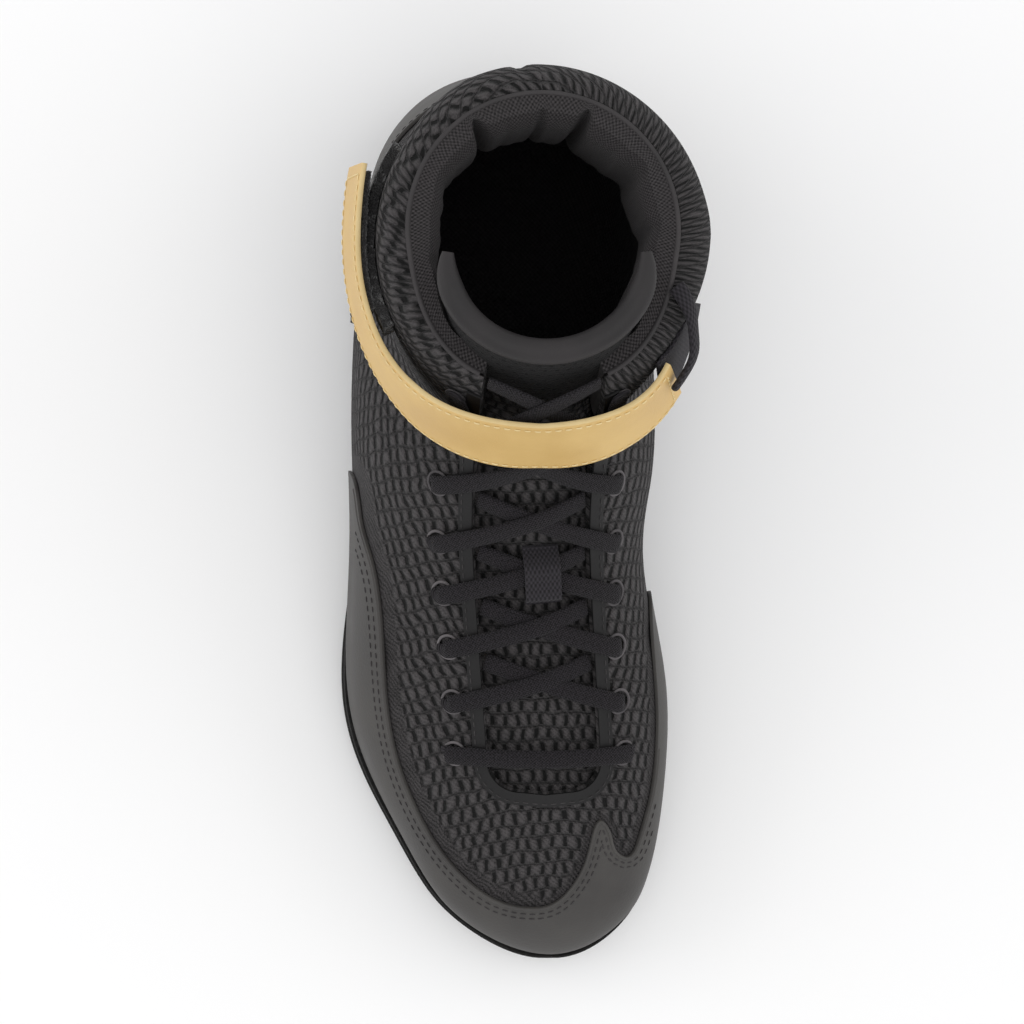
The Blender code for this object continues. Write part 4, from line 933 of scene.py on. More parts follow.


# %% [markdown]
# The rand's upper edge is one line in plan, read off the photograph at a few
# places: down the outer side, round the toe, up to one peak and back. A smooth curve
# joins them, and the same line trims the leather and ends the slots of the knit.

# %% The rand's edge line
RAND_EDGE = np.array((
    (-0.700, 0.300), (-0.700, 0.080), (-0.560, 0.072), (-0.521, 0.056), (-0.484, -0.001),
    (-0.449, -0.046), (-0.415, -0.137), (-0.381, -0.250), (-0.299, -0.331), (-0.198, -0.387),
    (-0.115, -0.416), (-0.035, -0.433), (0.060, -0.440), (0.130, -0.437), (0.211, -0.409),
    (0.254, -0.368), (0.290, -0.338), (0.318, -0.350), (0.345, -0.376), (0.380, -0.383),
    (0.420, -0.360), (0.452, -0.320), (0.469, -0.205), (0.450, -0.125), (0.455, -0.060),
    (0.480, -0.020), (0.560, 0.030), (0.700, 0.040), (0.700, 0.300),
))


def rounded_outline(points, first, last, steps=8):
    """The outline with its points first..last joined by a smooth curve."""
    part = points[first:last + 1]
    walk = walk_along(part)
    at = np.linspace(0.0, walk[-1], (len(part) - 1) * steps + 1)
    curve = smooth_curve(walk, part, bend_table(walk, part), at)
    return np.vstack([points[:first], curve, points[last + 1:]])


RAND_PLAN = rounded_outline(RAND_EDGE * np.array([BALL_WIDTH, UPPER_LENGTH]), 2, 26) + SHIFT[:2]
RAND_CURVE = RAND_PLAN[2:195]

# %% [markdown]
# The knit is laid and trimmed first. Two numbers on each point tell the material where
# the cloth is plain and how far its pads slant, and the wall grows inwards after that,
# so that the lining's side gets its own cloth.

# %% Laying the upper
# Plain cloth beside the rand, in mm, wider on the outer side; slots everywhere behind
INNER_FROM = 0.01
PLAIN_OUTER = 3.6
PLAIN_INNER = 1.4
PLAIN_FADE = 1.2 * MM
SLOTS_BEHIND = 0.06
# Where and how much the pads slant, at the sides and under the collar's edge
SIDE_SLANT = 0.46
SIDE_FADE = 0.024
SLANT_FROM = -0.085
SLANT_FADE = 0.03
TOP_SLANT = 0.85
TOP_CLOTH = 0.118
TOP_FADE = 0.012
shares = np.linspace(-1.0, 1.0, 201)
upper_stations = with_roll(even_stations(0.0, COLLAR, 170))
upper = trimmed_sheet("knit_upper", upper_stations, shares, upper_rise, beside_throat)
for finish in (KNIT, SOCK_CLOTH):
    upper.data.materials.append(finish)
upper_points = mesh_points(upper)
edge_gap = gap_inside(upper_points, RAND_PLAN)
upper_x, upper_y, upper_z = upper_points.T
plain_band = np.where(upper_x < INNER_FROM, PLAIN_OUTER, PLAIN_INNER) * MM
high = (upper_z - TOP_CLOTH) / TOP_FADE
side = np.clip((centre_x(upper_y) - upper_x) / SIDE_FADE, -1.0, 1.0)
slant = side * SIDE_SLANT * np.clip((upper_y - SLANT_FROM) / SLANT_FADE, 0.0, 1.0)
zone = np.clip((edge_gap - plain_band) / PLAIN_FADE, 0.0, 1.0)
write_attribute(upper, "zone", np.where(upper_y > SLOTS_BEHIND, 1.0, zone))
write_attribute(upper, "slant", slant + (TOP_SLANT - slant) * np.clip(high, 0.0, 1.0))
mesh_step(upper, "SOLIDIFY", thickness=WALL, offset=-1.0, use_even_offset=False,
          material_offset=1, material_offset_rim=0)
smooth(upper)
place_piece(upper, KNIT, "knit", "upper")

# %% [markdown]
# ## Leather rand and heel counter
# The rand is one piece of smooth leather wrapped round the forefoot. Its upper edge
# sweeps down the toe and rises in one peak on the inner side. It is trimmed to that
# line, then given its thickness, and its edge is rolled with a small bevel.

# %% Rand
def above_rim(points):
    return points[..., 2] - ground(points[..., 1]) - RIM_HEIGHT - FIT


def on_rand(points, stations, turns):
    return np.minimum(-gap_inside(points, RAND_PLAN), above_rim(points))


rand = trimmed_sheet("leather_rand", even_stations(0.0, 1.7, 110), np.linspace(-1.0, 1.0, 221),
                     FIT, on_rand, thick=LEATHER, edge=LEATHER_EDGE)
place_piece(rand, GREY_LEATHER, "grey_leather", "rand")

# %% [markdown]
# The heel counter is a stiff leather cup. Its front edge is a line in side view, the
# same on both sides, so its points are trimmed by y and z.

# %% Heel counter
COUNTER_SIDE = np.array((
    (0.225, -0.20), (0.225, 0.20), (0.262, 0.290), (0.330, 0.400), (0.400, 0.510),
    (0.470, 0.575), (0.600, 0.580), (0.600, -0.20),
)) * np.array([UPPER_LENGTH, COLLAR_HEIGHT]) + SHIFT[1:]
COUNTER_SIDE = rounded_outline(COUNTER_SIDE, 1, 6)
COUNTER_CURVE = COUNTER_SIDE[1:42]


def on_counter(points, stations, turns):
    gap = gap_inside(points, COUNTER_SIDE, first=1)
    return np.where(np.abs(turns) > 0.9, np.minimum(gap, above_rim(points)), -1.0)


heel_counter = trimmed_sheet("leather_heel_counter", even_stations(1.5, 3.1, 84),
                             np.linspace(-1.0, 1.0, 221), FIT, on_counter,
                             thick=LEATHER, edge=LEATHER_EDGE)
place_piece(heel_counter, GREY_LEATHER, "grey_leather", "heel_counter")

# %% [markdown]
# A flat leather strip binds the whole throat. It lies between the throat's own line
# and a second line 3.7 mm outside it.

# %% Throat binding
def on_binding(points, stations, turns):
    gap = np.minimum(gap_inside(points, BINDING), 0.2 * MM - gap_inside(points, THROAT))
    gap = np.minimum(gap, (ROLL_START - stations) * 70.0 * MM)
    return np.where(np.abs(turns) < 1.3, gap, -1.0)


binding = trimmed_sheet("leather_throat_binding", even_stations(0.4, COLLAR, 240),
                        np.linspace(-0.5, 0.5, 161), FIT, on_binding, thick=BINDING_THICK,
                        edge=0.3 * MM)
place_piece(binding, BINDING_LEATHER, "grey_leather", "throat_binding")

# %% [markdown]
# ## Tubes and bands
# Laces, straps, rolls and pads are all tubes: a ring of points carried along a line.
# A grid primitive is rolled into the tube, its two long sides are merged, and each end
# is drawn together to a rounded tip.

# %% Tube helper
def loft(name, rings, chart=None, tips=True):
    """A closed tube through rings of points; its chart is in mm round and along."""
    rings = np.asarray(rings)
    if tips:
        first = rings[0].mean(axis=0)
        last = rings[-1].mean(axis=0)
        rings = np.concatenate([
            [first + 0.0 * rings[0], first + 0.45 * (rings[0] - first), first + 0.85 * (rings[0] - first)],
            rings,
            [last + 0.85 * (rings[-1] - last), last + 0.45 * (rings[-1] - last), last + 0.0 * rings[-1]],
        ])
    closed = np.concatenate([rings, rings[:, :1]], axis=1)
    around = np.concatenate([np.zeros((len(closed), 1)),
                             np.cumsum(np.linalg.norm(np.diff(closed, axis=1), axis=-1), axis=1)], axis=1)
    middle = rings.mean(axis=1)
    along = walk_along(middle)
    if chart is None:
        centre = len(rings) // 2
        chart = np.stack([np.repeat(around[centre][None], len(closed), axis=0),
                          np.repeat(along[:, None], closed.shape[1], axis=1)], axis=-1) / MM
    piece = grid_piece(name, closed, chart)
    in_edit_mode(piece, *CLOSE_SEAM)
    return smooth(piece)


def spline(points, count):
    """A smooth curve through a few points, any number of columns."""
    points = np.asarray(points, float)
    walk = np.linspace(0.0, 1.0, len(points))
    return smooth_curve(walk, points, bend_table(walk, points), np.linspace(0.0, 1.0, count))


def flat_section(width, thick, square, count=20):
    """Points round a flat rounded section, as across and up."""
    turn = np.linspace(0.0, 2.0 * math.pi, count, endpoint=False)
    c, s = np.cos(turn), np.sin(turn)
    return np.stack([0.5 * width * np.sign(c) * np.abs(c) ** (2.0 / square),
                     0.5 * thick * np.sign(s) * np.abs(s) ** (2.0 / square)], axis=-1)


def swept(centre, up, profile):
    """Rings of a profile carried along a centre line."""
    run = unit(np.gradient(centre, axis=0))
    side = unit(np.cross(run, up))
    up = np.cross(side, run)
    return centre[:, None] + profile[None, :, :1] * side[:, None] + profile[None, :, 1:] * up[:, None]


# %% [markdown]
# ## Stitches, piping and eyelets
# A stitch is a short thread that dips into the leather at both ends. One grid is cut
# into as many short tubes as the row has stitches, with a few faces each. The rand's
# edge is piped with a thin cord, and two rows of stitches run beside it.

# %% Stitch helper
def stitch_row(name, line, up, material, slot, length=2.1, gap=0.8, thick=0.5):
    """Stitches of a length and a gap in mm along a line."""
    walk = walk_along(line)
    count = int(walk[-1] / ((length + gap) * MM))
    starts = (np.arange(count) + 0.25) * walk[-1] / count
    at = starts[:, None] + length * MM * np.array([0.0, 0.12, 0.5, 0.88, 1.0])[None, :]
    at = np.minimum(at, walk[-1]).ravel()
    centre = np.stack([np.interp(at, walk, line[:, k]) for k in range(3)], axis=-1)
    ahead = np.stack([np.interp(at + 0.3 * MM, walk, line[:, k]) for k in range(3)], axis=-1)
    behind = np.stack([np.interp(at - 0.3 * MM, walk, line[:, k]) for k in range(3)], axis=-1)
    upward = unit(np.stack([np.interp(at, walk, up[:, k]) for k in range(3)], axis=-1))
    across = unit(np.cross(ahead - behind, upward))
    lift = np.tile(np.array([-0.35, 0.12, 0.26, 0.12, -0.35]), count) * thick * MM
    share = np.tile(np.array([0.0, 0.8, 1.0, 0.8, 0.0]), count) * 0.5 * thick * MM
    turn = np.linspace(0.0, 2.0 * math.pi, 7)
    points = ((centre + lift[:, None] * upward)[:, None]
              + np.cos(turn)[None, :, None] * (share[:, None] * across)[:, None]
              + 0.8 * np.sin(turn)[None, :, None] * (share[:, None] * upward)[:, None])
    keep = np.repeat((share > 0.0)[:, None], 7, axis=1)
    chart = np.stack(np.broadcast_arrays(turn[None, :] * 0.2, at[:, None] / MM), axis=-1)
    piece = grid_piece(name, points, chart, keep)
    in_edit_mode(piece, *CLOSE_SEAM)
    smooth(piece, 80.0)
    return place_piece(piece, material, slot)


def inset_line(outline, distance, axes, turns, height, top=COLLAR):
    """A line on the last beside a plan or side outline, in one unbroken part."""
    along = unit(np.gradient(outline, axis=0))
    beside = outline + distance * np.stack([along[:, 1], -along[:, 0]], axis=-1)
    far = np.array([np.min(np.linalg.norm(outline - point, axis=1)) for point in beside])
    beside = beside[far > 0.93 * abs(distance) - 0.01 * MM]
    station, around = place_on_last(beside, axes, *turns)
    found = last_point(station, around)
    good = np.linalg.norm(found[:, axes] - beside, axis=1) < 0.2 * MM
    good &= above_rim(found) > 1.5 * MM
    good &= station < top
    good &= np.abs(last_normal(station, around)[:, 3 - sum(axes)]) > 0.12
    marks = np.concatenate([[0], np.flatnonzero(np.diff(good.astype(int))) + 1, [len(good)]])
    parts = [(b - a, a, b) for a, b in zip(marks[:-1], marks[1:]) if good[a]]
    _, a, b = max(parts)
    return skin(station[a:b], around[a:b], height), last_normal(station[a:b], around[a:b])


# %% [markdown]
# Each row keeps its distance from an edge. The line is moved sideways in plan or side
# view, put back on the last, and its longest unbroken part is sewn.

# %% Rows of stitches on the leather
for number, distance in enumerate((1.9, 3.4)):
    line, up = inset_line(RAND_CURVE, distance * MM, (0, 1), (-1.9, 1.9), FIT + LEATHER)
    stitch_row("rand_stitches_%d" % (number + 1), line, up, THREAD, "grey_leather")
line, up = inset_line(RAND_CURVE, 0.5 * MM, (0, 1), (-1.9, 1.9), FIT + 0.8 * MM)
piping = loft("rand_piping", swept(line, up, flat_section(1.1 * MM, 1.1 * MM, 2.0, 10)))
place_piece(piping, GREY_LEATHER, "grey_leather")
for number, turns in enumerate(((-3.0, -1.0), (1.0, 3.0))):
    line, up = inset_line(COUNTER_CURVE, 2.0 * MM, (1, 2), turns, FIT + LEATHER)
    stitch_row("counter_stitches_%d" % (number + 1), line, up, THREAD, "grey_leather")
line, up = inset_line(BINDING, -0.9 * MM, (0, 1), (-1.2, 1.2), FIT + BINDING_THICK,
                      ROLL_START - 0.05)
stitch_row("binding_stitches", line, up, THREAD, "grey_leather", thick=0.4)

# %% [markdown]
# ## Tongue
# The tongue is padded knit under the laces. It curls in behind the front of the collar
# and ends in a soft leather roll. The photograph shows rows of punched dots just below
# the roll.

# %% Tongue
TONGUE_TOP = 3.40
PUNCHED_FROM = 0.139
ROLL_WIDTH = 7.4 * MM


def tongue_place(station, share, depth):
    rise = np.clip((station - 1.9) / 1.3, 0.0, 1.0)
    rise = rise * rise * (3.0 - 2.0 * rise)
    turn = 0.56 + 0.60 * rise
    forward = 2.0 * MM * np.clip((station - 3.0) / 0.4, 0.0, 1.0)
    curl = (2.6 * MM + 11.5 * MM * np.abs(share) ** 2) * rise - forward
    return skin(station, share * turn, -(WALL + TONGUE_GAP + curl + depth))


tongue_stations = even_stations(0.58, TONGUE_TOP, 176)
tongue_shares = np.linspace(-1.0, 1.0, 61)
grid_s, grid_w = np.meshgrid(tongue_stations, tongue_shares, indexing="ij")
quilt = 0.35 * MM * np.abs(np.sin(grid_s * 17.0)) * (grid_s < 2.2)
face = tongue_place(grid_s, grid_w, 0.3 * MM - quilt)
chart_u = np.cumsum(np.linalg.norm(np.diff(face, axis=1, prepend=face[:, :1]), axis=-1), axis=1)
chart_u = chart_u - chart_u[:, 30:31]
chart_v = np.cumsum(np.linalg.norm(np.diff(face, axis=0, prepend=face[:1]), axis=-1), axis=0)
tongue = grid_piece("knit_tongue", face, np.stack([chart_u, chart_v], axis=-1) / MM)
face_out(tongue, grid_s, grid_w * 0.7)
for finish in (KNIT, LINING, PUNCHED_CLOTH):
    tongue.data.materials.append(finish)
write_attribute(tongue, "zone", np.ones(len(tongue.data.vertices)))
write_attribute(tongue, "slant", np.zeros(len(tongue.data.vertices)))
mesh_step(tongue, "SOLIDIFY", thickness=TONGUE_THICK, offset=-1.0, use_even_offset=False,
          material_offset=1, material_offset_rim=0)
mesh_step(tongue, "BEVEL", width=1.0 * MM, segments=3, limit_method="ANGLE", angle_limit=1.0)
for face in tongue.data.polygons:
    if face.material_index == 0 and face.center.z > PUNCHED_FROM:
        face.material_index = 2
smooth(tongue)
place_piece(tongue, KNIT, "knit", "tongue")

# %% [markdown]
# A thin foam core under leather makes the roll. It is a round tube carried along the
# tongue's top, thinner towards its two ends.

# %% The roll along the tongue's top
roll_w = np.linspace(-0.98, 0.98, 61)
low = tongue_place(np.full(61, TONGUE_TOP - 0.04), roll_w, np.full(61, 2.1 * MM))
high = tongue_place(np.full(61, TONGUE_TOP), roll_w, np.full(61, 2.1 * MM))
roll_up = unit(high - low)
roll_centre = high + roll_up * 3.5 * MM
roll_rings = swept(roll_centre, roll_up, flat_section(ROLL_WIDTH, ROLL_WIDTH, 2.0, 24))
taper = (1.0 - 0.55 * np.clip((np.abs(roll_w) - 0.70) / 0.28, 0.0, 1.0) ** 1.6)[:, None, None]
roll_rings = roll_centre[:, None] + (roll_rings - roll_centre[:, None]) * taper
tongue_roll = loft("leather_tongue_roll", roll_rings)
place_piece(tongue_roll, TONGUE_LEATHER, "grey_leather", "tongue_rim")

# %% [markdown]
# ## Padded collar
# Foam under a tricot lining fills the inside of the collar. Its section is a crowned
# pad, thick a third of the way down. Two deep creases at the back and some softer
# folds are pressed into it where the photograph shows them.

# %% Collar padding
PAD_THICK = 15.5 * MM
PAD_DEPTH = 0.54
PAD_END = 0.40
PAD_LEAST = 0.46
SEAM_GAP = 0.8 * MM
PAD_INNER = np.array(((0.0, -0.03), (0.22, 0.0), (0.62, 0.18), (0.93, 0.46), (1.00, 0.76),
                      (0.97, 0.95), (0.78, 1.05)))
# Each crease: angle, half width in radians, how far in as a share
PAD_CREASES = ((-2.565, 0.060, 0.40), (2.77, 0.055, 0.36), (2.13, 0.13, 0.16), (-2.05, 0.16, 0.10),
               (1.60, 0.12, 0.10), (-1.30, 0.10, 0.12), (math.pi, 0.045, 0.12))


def crease_press(around):
    press = 0.0
    for angle, half, depth in PAD_CREASES:
        away = (around - angle + math.pi) % (2.0 * math.pi) - math.pi
        press += depth * math.exp(-(away / half) ** 2)
    return press


outer_stations = np.concatenate([COLLAR - (COLLAR - ROLL_START) * (1.0 - np.cos(np.linspace(0.0, 1.5, 9))),
                                 np.linspace(ROLL_START - 0.02, COLLAR - PAD_DEPTH, 14)])
inner_part = spline(PAD_INNER, 40)
pad_turns = np.linspace(PAD_END, 2.0 * math.pi - PAD_END, 300)
pad_rings = []
for around in pad_turns:
    swell = float(collar_swell(around))
    press = crease_press(around)
    ripple = 0.010 * math.sin(around * 23.0) + 0.008 * math.sin(around * 41.0 + 1.0)
    outer = rolled(outer_stations, np.full(len(outer_stations), around), WALL + FIT)
    inward, way = inner_part.T
    soft = np.clip((inward - 0.45) / 0.4, 0.0, 1.0)
    inward = inward * (1.0 - press * soft + ripple * soft)
    station = COLLAR - PAD_DEPTH * (1.0 - way) - 0.05 * press * np.clip(way - 0.7, 0.0, 1.0)
    thick = PAD_THICK * max(swell, PAD_LEAST)
    inner = skin(station, np.full(len(station), around), -(WALL + FIT + inward * thick))
    last = skin(COLLAR + 0.004, around, -(COLLAR_ROLL * swell + SEAM_GAP))
    pad_rings.append(np.vstack([outer, inner[1:], last]))
collar = loft("padded_collar", pad_rings)
place_piece(collar, LINING, "collar_lining", "collar_padding")

# %% [markdown]
# Knit and lining meet in a seam along the top. A thin cord covers the join.

# %% The seam between the knit and the lining
SEAM_END = 0.42
SEAM_WIDTH = 1.6 * MM
SEAM_THICK = 1.4 * MM
seam_turns = np.linspace(SEAM_END, 2.0 * math.pi - SEAM_END, 240)
seam_line = skin(np.full(240, COLLAR), seam_turns, -(roll_depth(COLLAR, seam_turns) + 0.4 * MM))
seam_up = skin(np.full(240, COLLAR + 0.05), seam_turns, -roll_depth(COLLAR, seam_turns)) - seam_line
seam = loft("collar_seam_cord",
            swept(seam_line, unit(seam_up), flat_section(SEAM_WIDTH, SEAM_THICK, 2.0, 10)))
place_piece(seam, THREAD, "grey_leather")

# %% [markdown]
# ## Laces
# The lace is a flat woven cord. One straight bar lies in front, and six crossings lie
# behind it: the cord from the outer eyelet passes over the one from the inner eyelet,
# and each dives under the throat's far edge. The routes are those of the CAD model.

# %% Laces
EYELET_ROWS = (
    (-0.262, 0.000, 1.00), (-0.203, 0.000, 0.98), (-0.141, 0.000, 0.98), (-0.081, 0.000, 1.00),
    (-0.024, 0.000, 1.02), (0.036, 0.004, 1.02), (0.094, 0.034, 0.88),
)
EYELET_REACH = 26.2 * MM
INNER_NEARER = 2.2 * MM
LACE_WIDTH = 5.6 * MM
LACE_THICK = 1.2 * MM
ON_TOP = FIT + BINDING_THICK + FIT + 0.5 * LACE_THICK
UNDER = -(0.5 * LACE_THICK + FIT)
INSIDE = THROAT_HALF - 1.6 * MM
RISE = 0.044 * UPPER_LENGTH
DIP = 1.2 * MM
CROSS_REACH = 16.0 * MM
# Each cord of a crossing: name, side of its eyelet, two shares of the rise, two lifts
CROSSINGS = (("over", -1, 0.18, 0.56, 0.0, 0.1 * MM),
             ("under", 1, 0.16, 0.54, -0.2 * MM, -0.9 * LACE_THICK))


def eyelet(row, side):
    place, back, spread = EYELET_ROWS[row]
    y = place * UPPER_LENGTH + SHIFT[1]
    reach = side * spread * (EYELET_REACH - (INNER_NEARER if side > 0 else 0.0))
    return float(centre_x(y)) + reach, y + back * UPPER_LENGTH


def lace(name, stops, heights, count=56):
    """A flat cord through plan points at heights over the skin, its ends turned down."""
    line = spline(np.column_stack([np.array(stops), np.array(heights)]), count)
    station, around = instep_place(line[:, 0], line[:, 1])
    centre = skin(station, around, line[:, 2])
    up = last_normal(station, around)
    return loft(name, swept(centre, up, flat_section(1.08 * LACE_WIDTH, 1.5 * LACE_THICK, 2.3)))


def eyelet_start(row, side):
    """Two places that turn the cord down into its eyelet."""
    x, y = eyelet(row, side)
    return (x + side * 1.6 * MM, y), (x, y)


bar_y = EYELET_ROWS[0][0] * UPPER_LENGTH + SHIFT[1]
start = eyelet_start(0, -1)
end = eyelet_start(0, 1)
bar = lace("lace_bar_front",
           [start[0], start[1], (float(centre_x(bar_y)), bar_y - 1.0 * MM), end[1], end[0]],
           [ON_TOP - DIP, ON_TOP, ON_TOP, ON_TOP, ON_TOP - DIP])
place_piece(bar, LACE_WEAVE, "lace_cord", "lace_bar")
for row in range(1, len(EYELET_ROWS)):
    y = EYELET_ROWS[row][0] * UPPER_LENGTH + SHIFT[1]
    middle = float(centre_x(y))
    far = float(centre_x(y + RISE))
    for word, side, low_share, middle_share, low_lift, middle_lift in CROSSINGS:
        start = eyelet_start(row, side)
        cord = lace("lace_%s_%d" % (word, row + 1),
                    [start[0], start[1], (middle + side * CROSS_REACH, y + low_share * RISE),
                     (middle, y + middle_share * RISE), (far - side * INSIDE, y + RISE)],
                    [ON_TOP - DIP, ON_TOP, ON_TOP + low_lift, ON_TOP + middle_lift, UNDER])
        place_piece(cord, LACE_WEAVE, "lace_cord", *(["lace_row_%d" % (row + 1)] if side < 0 else []))

# %% [markdown]
# Each eyelet is edged with thread, like a buttonhole. A thin torus is turned to the
# skin at each one, and its points are pressed to an oval.

# %% Eyelet edges
EYELET_RADIUS = 3.5 * MM
EDGE_RADIUS = 0.45 * MM
for row in range(len(EYELET_ROWS)):
    for side, word in ((-1, "outer"), (1, "inner")):
        x, y = eyelet_start(row, side)[0]
        station, around = instep_place([x - side * 0.6 * MM], [y])
        centre = skin(station, around, FIT + 0.1 * MM)[0]
        up = last_normal(station, around)[0]
        clear_selection()
        bpy.ops.mesh.primitive_torus_add(major_radius=EYELET_RADIUS, minor_radius=EDGE_RADIUS,
                                         major_segments=36, minor_segments=8)
        rim = bpy.context.object
        rim.name = "eyelet_edge_%s_%d" % (word, row + 1)
        lengthwise = unit(np.cross(up, (1.0, 0.0, 0.0)))
        crosswise = np.cross(lengthwise, up)
        flat = mesh_points(rim) * np.array([1.0, 1.08, 1.0])
        rim.data.vertices.foreach_set("co", (centre + flat @ np.array([crosswise, lengthwise, up])).ravel())
        in_edit_mode(rim, CLOSE_SEAM[1])
        smooth(rim, 80.0)
        place_piece(rim, EYELET_THREAD, "lace_cord")

# %% [markdown]
# ## Lace keeper
# A short webbing loop is sewn to the tongue and holds the laces in the middle.

# %% Lace keeper
KEEPER_HALF = 8.4 * MM
KEEPER_WIDTH = 11.0 * MM
KEEPER_THICK = 1.0 * MM
KEEPER_SIDE = 2.8 * MM
keeper_y = (EYELET_ROWS[3][0] + 0.017) * UPPER_LENGTH + SHIFT[1]
keeper_top = ON_TOP + 1.5 * LACE_THICK
keeper_low = -(WALL + TONGUE_GAP) + FIT
stops = np.array(((-1.0, 0.0), (-0.86, 0.16), (-0.62, 0.88), (-0.25, 1.0), (0.25, 1.0), (0.62, 0.88),
                  (0.86, 0.16), (1.0, 0.0)))
arch = spline(stops, 64)
keeper_line_y = keeper_y + arch[:, 0] * KEEPER_HALF
keeper_line_x = centre_x(keeper_line_y) + KEEPER_SIDE
station, around = instep_place(keeper_line_x, keeper_line_y)
keeper_height = keeper_low + (keeper_top - keeper_low) * arch[:, 1] + 0.4 * MM
keeper_ribs = 0.12 * MM * np.sin(np.linspace(0.0, 26.0 * math.pi, 64))
centre = skin(station, around, keeper_height + keeper_ribs)
keeper = loft("webbing_lace_keeper",
              swept(centre, last_normal(station, around), flat_section(KEEPER_WIDTH, KEEPER_THICK, 5.0)))
place_piece(keeper, WEBBING, "webbing", "lace_keeper")

# %% [markdown]
# ## Strap and its parts
# A gold leather strap runs round the front of the shaft. Its free end stands off on
# the outer side, over hook tape; the inner end is sewn to dark webbing and passes an
# elastic keeper. Each is a band along stops given as angle, station, gap and width.

# %% Bands round the shaft
BAND_WIDTH = 32.0
STRAP_THICK = 1.8 * MM
TAPE_THICK = 1.6 * MM
ELASTIC_WIDTH = 5.2 * MM
ELASTIC_THICK = 2.3 * MM
SEAM_INSET = 2.3
STRAP_STOPS = (
    (0.85, 2.93, 5.0, 1.0), (0.62, 2.90, 6.0, 1.0), (0.32, 2.88, 5.4, 1.0), (0.00, 2.87, 4.6, 1.0),
    (-0.32, 2.86, 5.4, 1.0), (-0.68, 2.85, 6.8, 1.0), (-1.04, 2.88, 6.8, 1.0), (-1.40, 2.93, 6.0, 1.0),
    (-1.74, 2.97, 6.2, 1.0), (-2.00, 3.00, 8.4, 1.0),
)
HOOK_STOPS = ((-1.22, 2.905, 4.6, 0.86), (-1.50, 2.945, 4.1, 0.86), (-1.74, 2.970, 4.3, 0.86),
              (-1.97, 2.995, 6.2, 0.86))
ANCHOR_STOPS = ((1.26, 3.02, 0.8, 0.8), (1.12, 2.99, 1.6, 0.8), (0.98, 2.96, 2.2, 0.86),
                (0.88, 2.94, 2.6, 0.95), (0.78, 2.93, 2.86, 0.95))
# Elastic: angle, station, height in mm, and how far its face turns out from level
ELASTIC_STOPS = ((1.16, 3.272, -5.8, 0.10), (1.12, 3.266, -2.6, 0.45), (1.07, 3.235, 1.2, 0.80),
                 (1.01, 3.180, 4.4, 1.00), (0.95, 3.120, 7.0, 1.00), (0.88, 3.050, 7.8, 1.00),
                 (0.80, 2.980, 8.0, 1.00))
# How far a band's top edge leans in, in radians, at angles round the shaft
BAND_LEAN = ((-2.0, -1.2, -0.7, 0.0, 0.5, 0.85), (0.10, 0.15, 0.14, 0.02, 0.14, 0.28))
print("strap stops:", len(STRAP_STOPS))


def band_line(stops, thick, count):
    """Centre line, upward and outward directions, and width shares of a band."""
    around, station, gap, share = spline(stops, count).T
    gap = gap * MM
    centre = skin(station, around, gap + 0.5 * thick)
    up = skin(station + 0.01, around, gap) - skin(station - 0.01, around, gap)
    run = unit(np.gradient(centre, axis=0))
    up = unit(up - run * np.sum(up * run, axis=1, keepdims=True))
    out = np.cross(run, up)
    facing = np.sum(out * last_normal(station, around), axis=1, keepdims=True)
    out = np.where(facing < 0.0, -out, out)
    lean = np.interp(around, BAND_LEAN[0], BAND_LEAN[1])[:, None]
    return centre, up * np.cos(lean) - out * np.sin(lean), out * np.cos(lean) + up * np.sin(lean), share


def band(name, stops, width, thick, count, square=9.0, points=40):
    centre, up, out, share = band_line(stops, thick, count)
    profile = flat_section(width, thick, square, points)
    rings = (centre[:, None] + profile[None, :, :1] * share[:, None, None] * up[:, None]
             + profile[None, :, 1:] * out[:, None])
    return loft(name, rings)


def roughen(piece, amount):
    """Moves each point a little along its normal, for the uneven pile of the tape."""
    points = mesh_points(piece)
    wave = (np.sin(points @ np.array([5200.0, 7300.0, 6100.0]))
            * np.sin(points @ np.array([-8100.0, 3900.0, 9700.0])))
    normals = np.array([tuple(vertex.normal) for vertex in piece.data.vertices])
    piece.data.vertices.foreach_set("co", (points + amount * wave[:, None] * normals).ravel())


strap = band("gold_strap", STRAP_STOPS, BAND_WIDTH * MM, STRAP_THICK, 150)
centre, up, out, share = band_line(STRAP_STOPS, STRAP_THICK, 300)
for finish in (GOLD_LEATHER, PALE_EDGE):
    strap.data.materials.append(finish)
for face in strap.data.polygons:
    middle = np.array(face.center)
    near = int(np.argmin(((centre - middle) ** 2).sum(axis=1)))
    if abs(float((middle - centre[near]) @ up[near])) > (0.5 * BAND_WIDTH * share[near] - 0.45) * MM:
        face.material_index = 1
place_piece(strap, GOLD_LEATHER, "gold_leather", "strap")
for number, sign in enumerate((-1.0, 1.0)):
    line = centre + sign * (0.5 * BAND_WIDTH * share[:, None] - SEAM_INSET) * MM * up + 0.95 * MM * out
    stitch_row("strap_stitches_%d" % (number + 1), line[8:-8], out[8:-8], GOLD_THREAD, "gold_leather",
               thick=0.6)
for number, place in enumerate((9, -9)):
    across = np.linspace(-12.5, 12.5, 40)[:, None] * MM
    line = centre[place] + across * up[place] + 0.95 * MM * out[place]
    stitch_row("strap_end_stitches_%d" % (number + 1), line, np.repeat(out[place][None], 40, axis=0),
               GOLD_THREAD, "gold_leather", thick=0.6)
hook = band("hook_tape_on_strap", HOOK_STOPS, BAND_WIDTH * MM, TAPE_THICK, 60, square=6.0)
roughen(hook, 0.5 * MM)
place_piece(hook, HOOK_TAPE, "hook_and_loop", "strap_hook")
anchor = band("webbing_anchor", ANCHOR_STOPS, BAND_WIDTH * MM, TAPE_THICK, 40, square=6.0)
place_piece(anchor, WEBBING, "webbing", "strap_anchor")
around, station, height, outward = spline(ELASTIC_STOPS, 60).T
elastic_line = skin(station, around, height * MM)
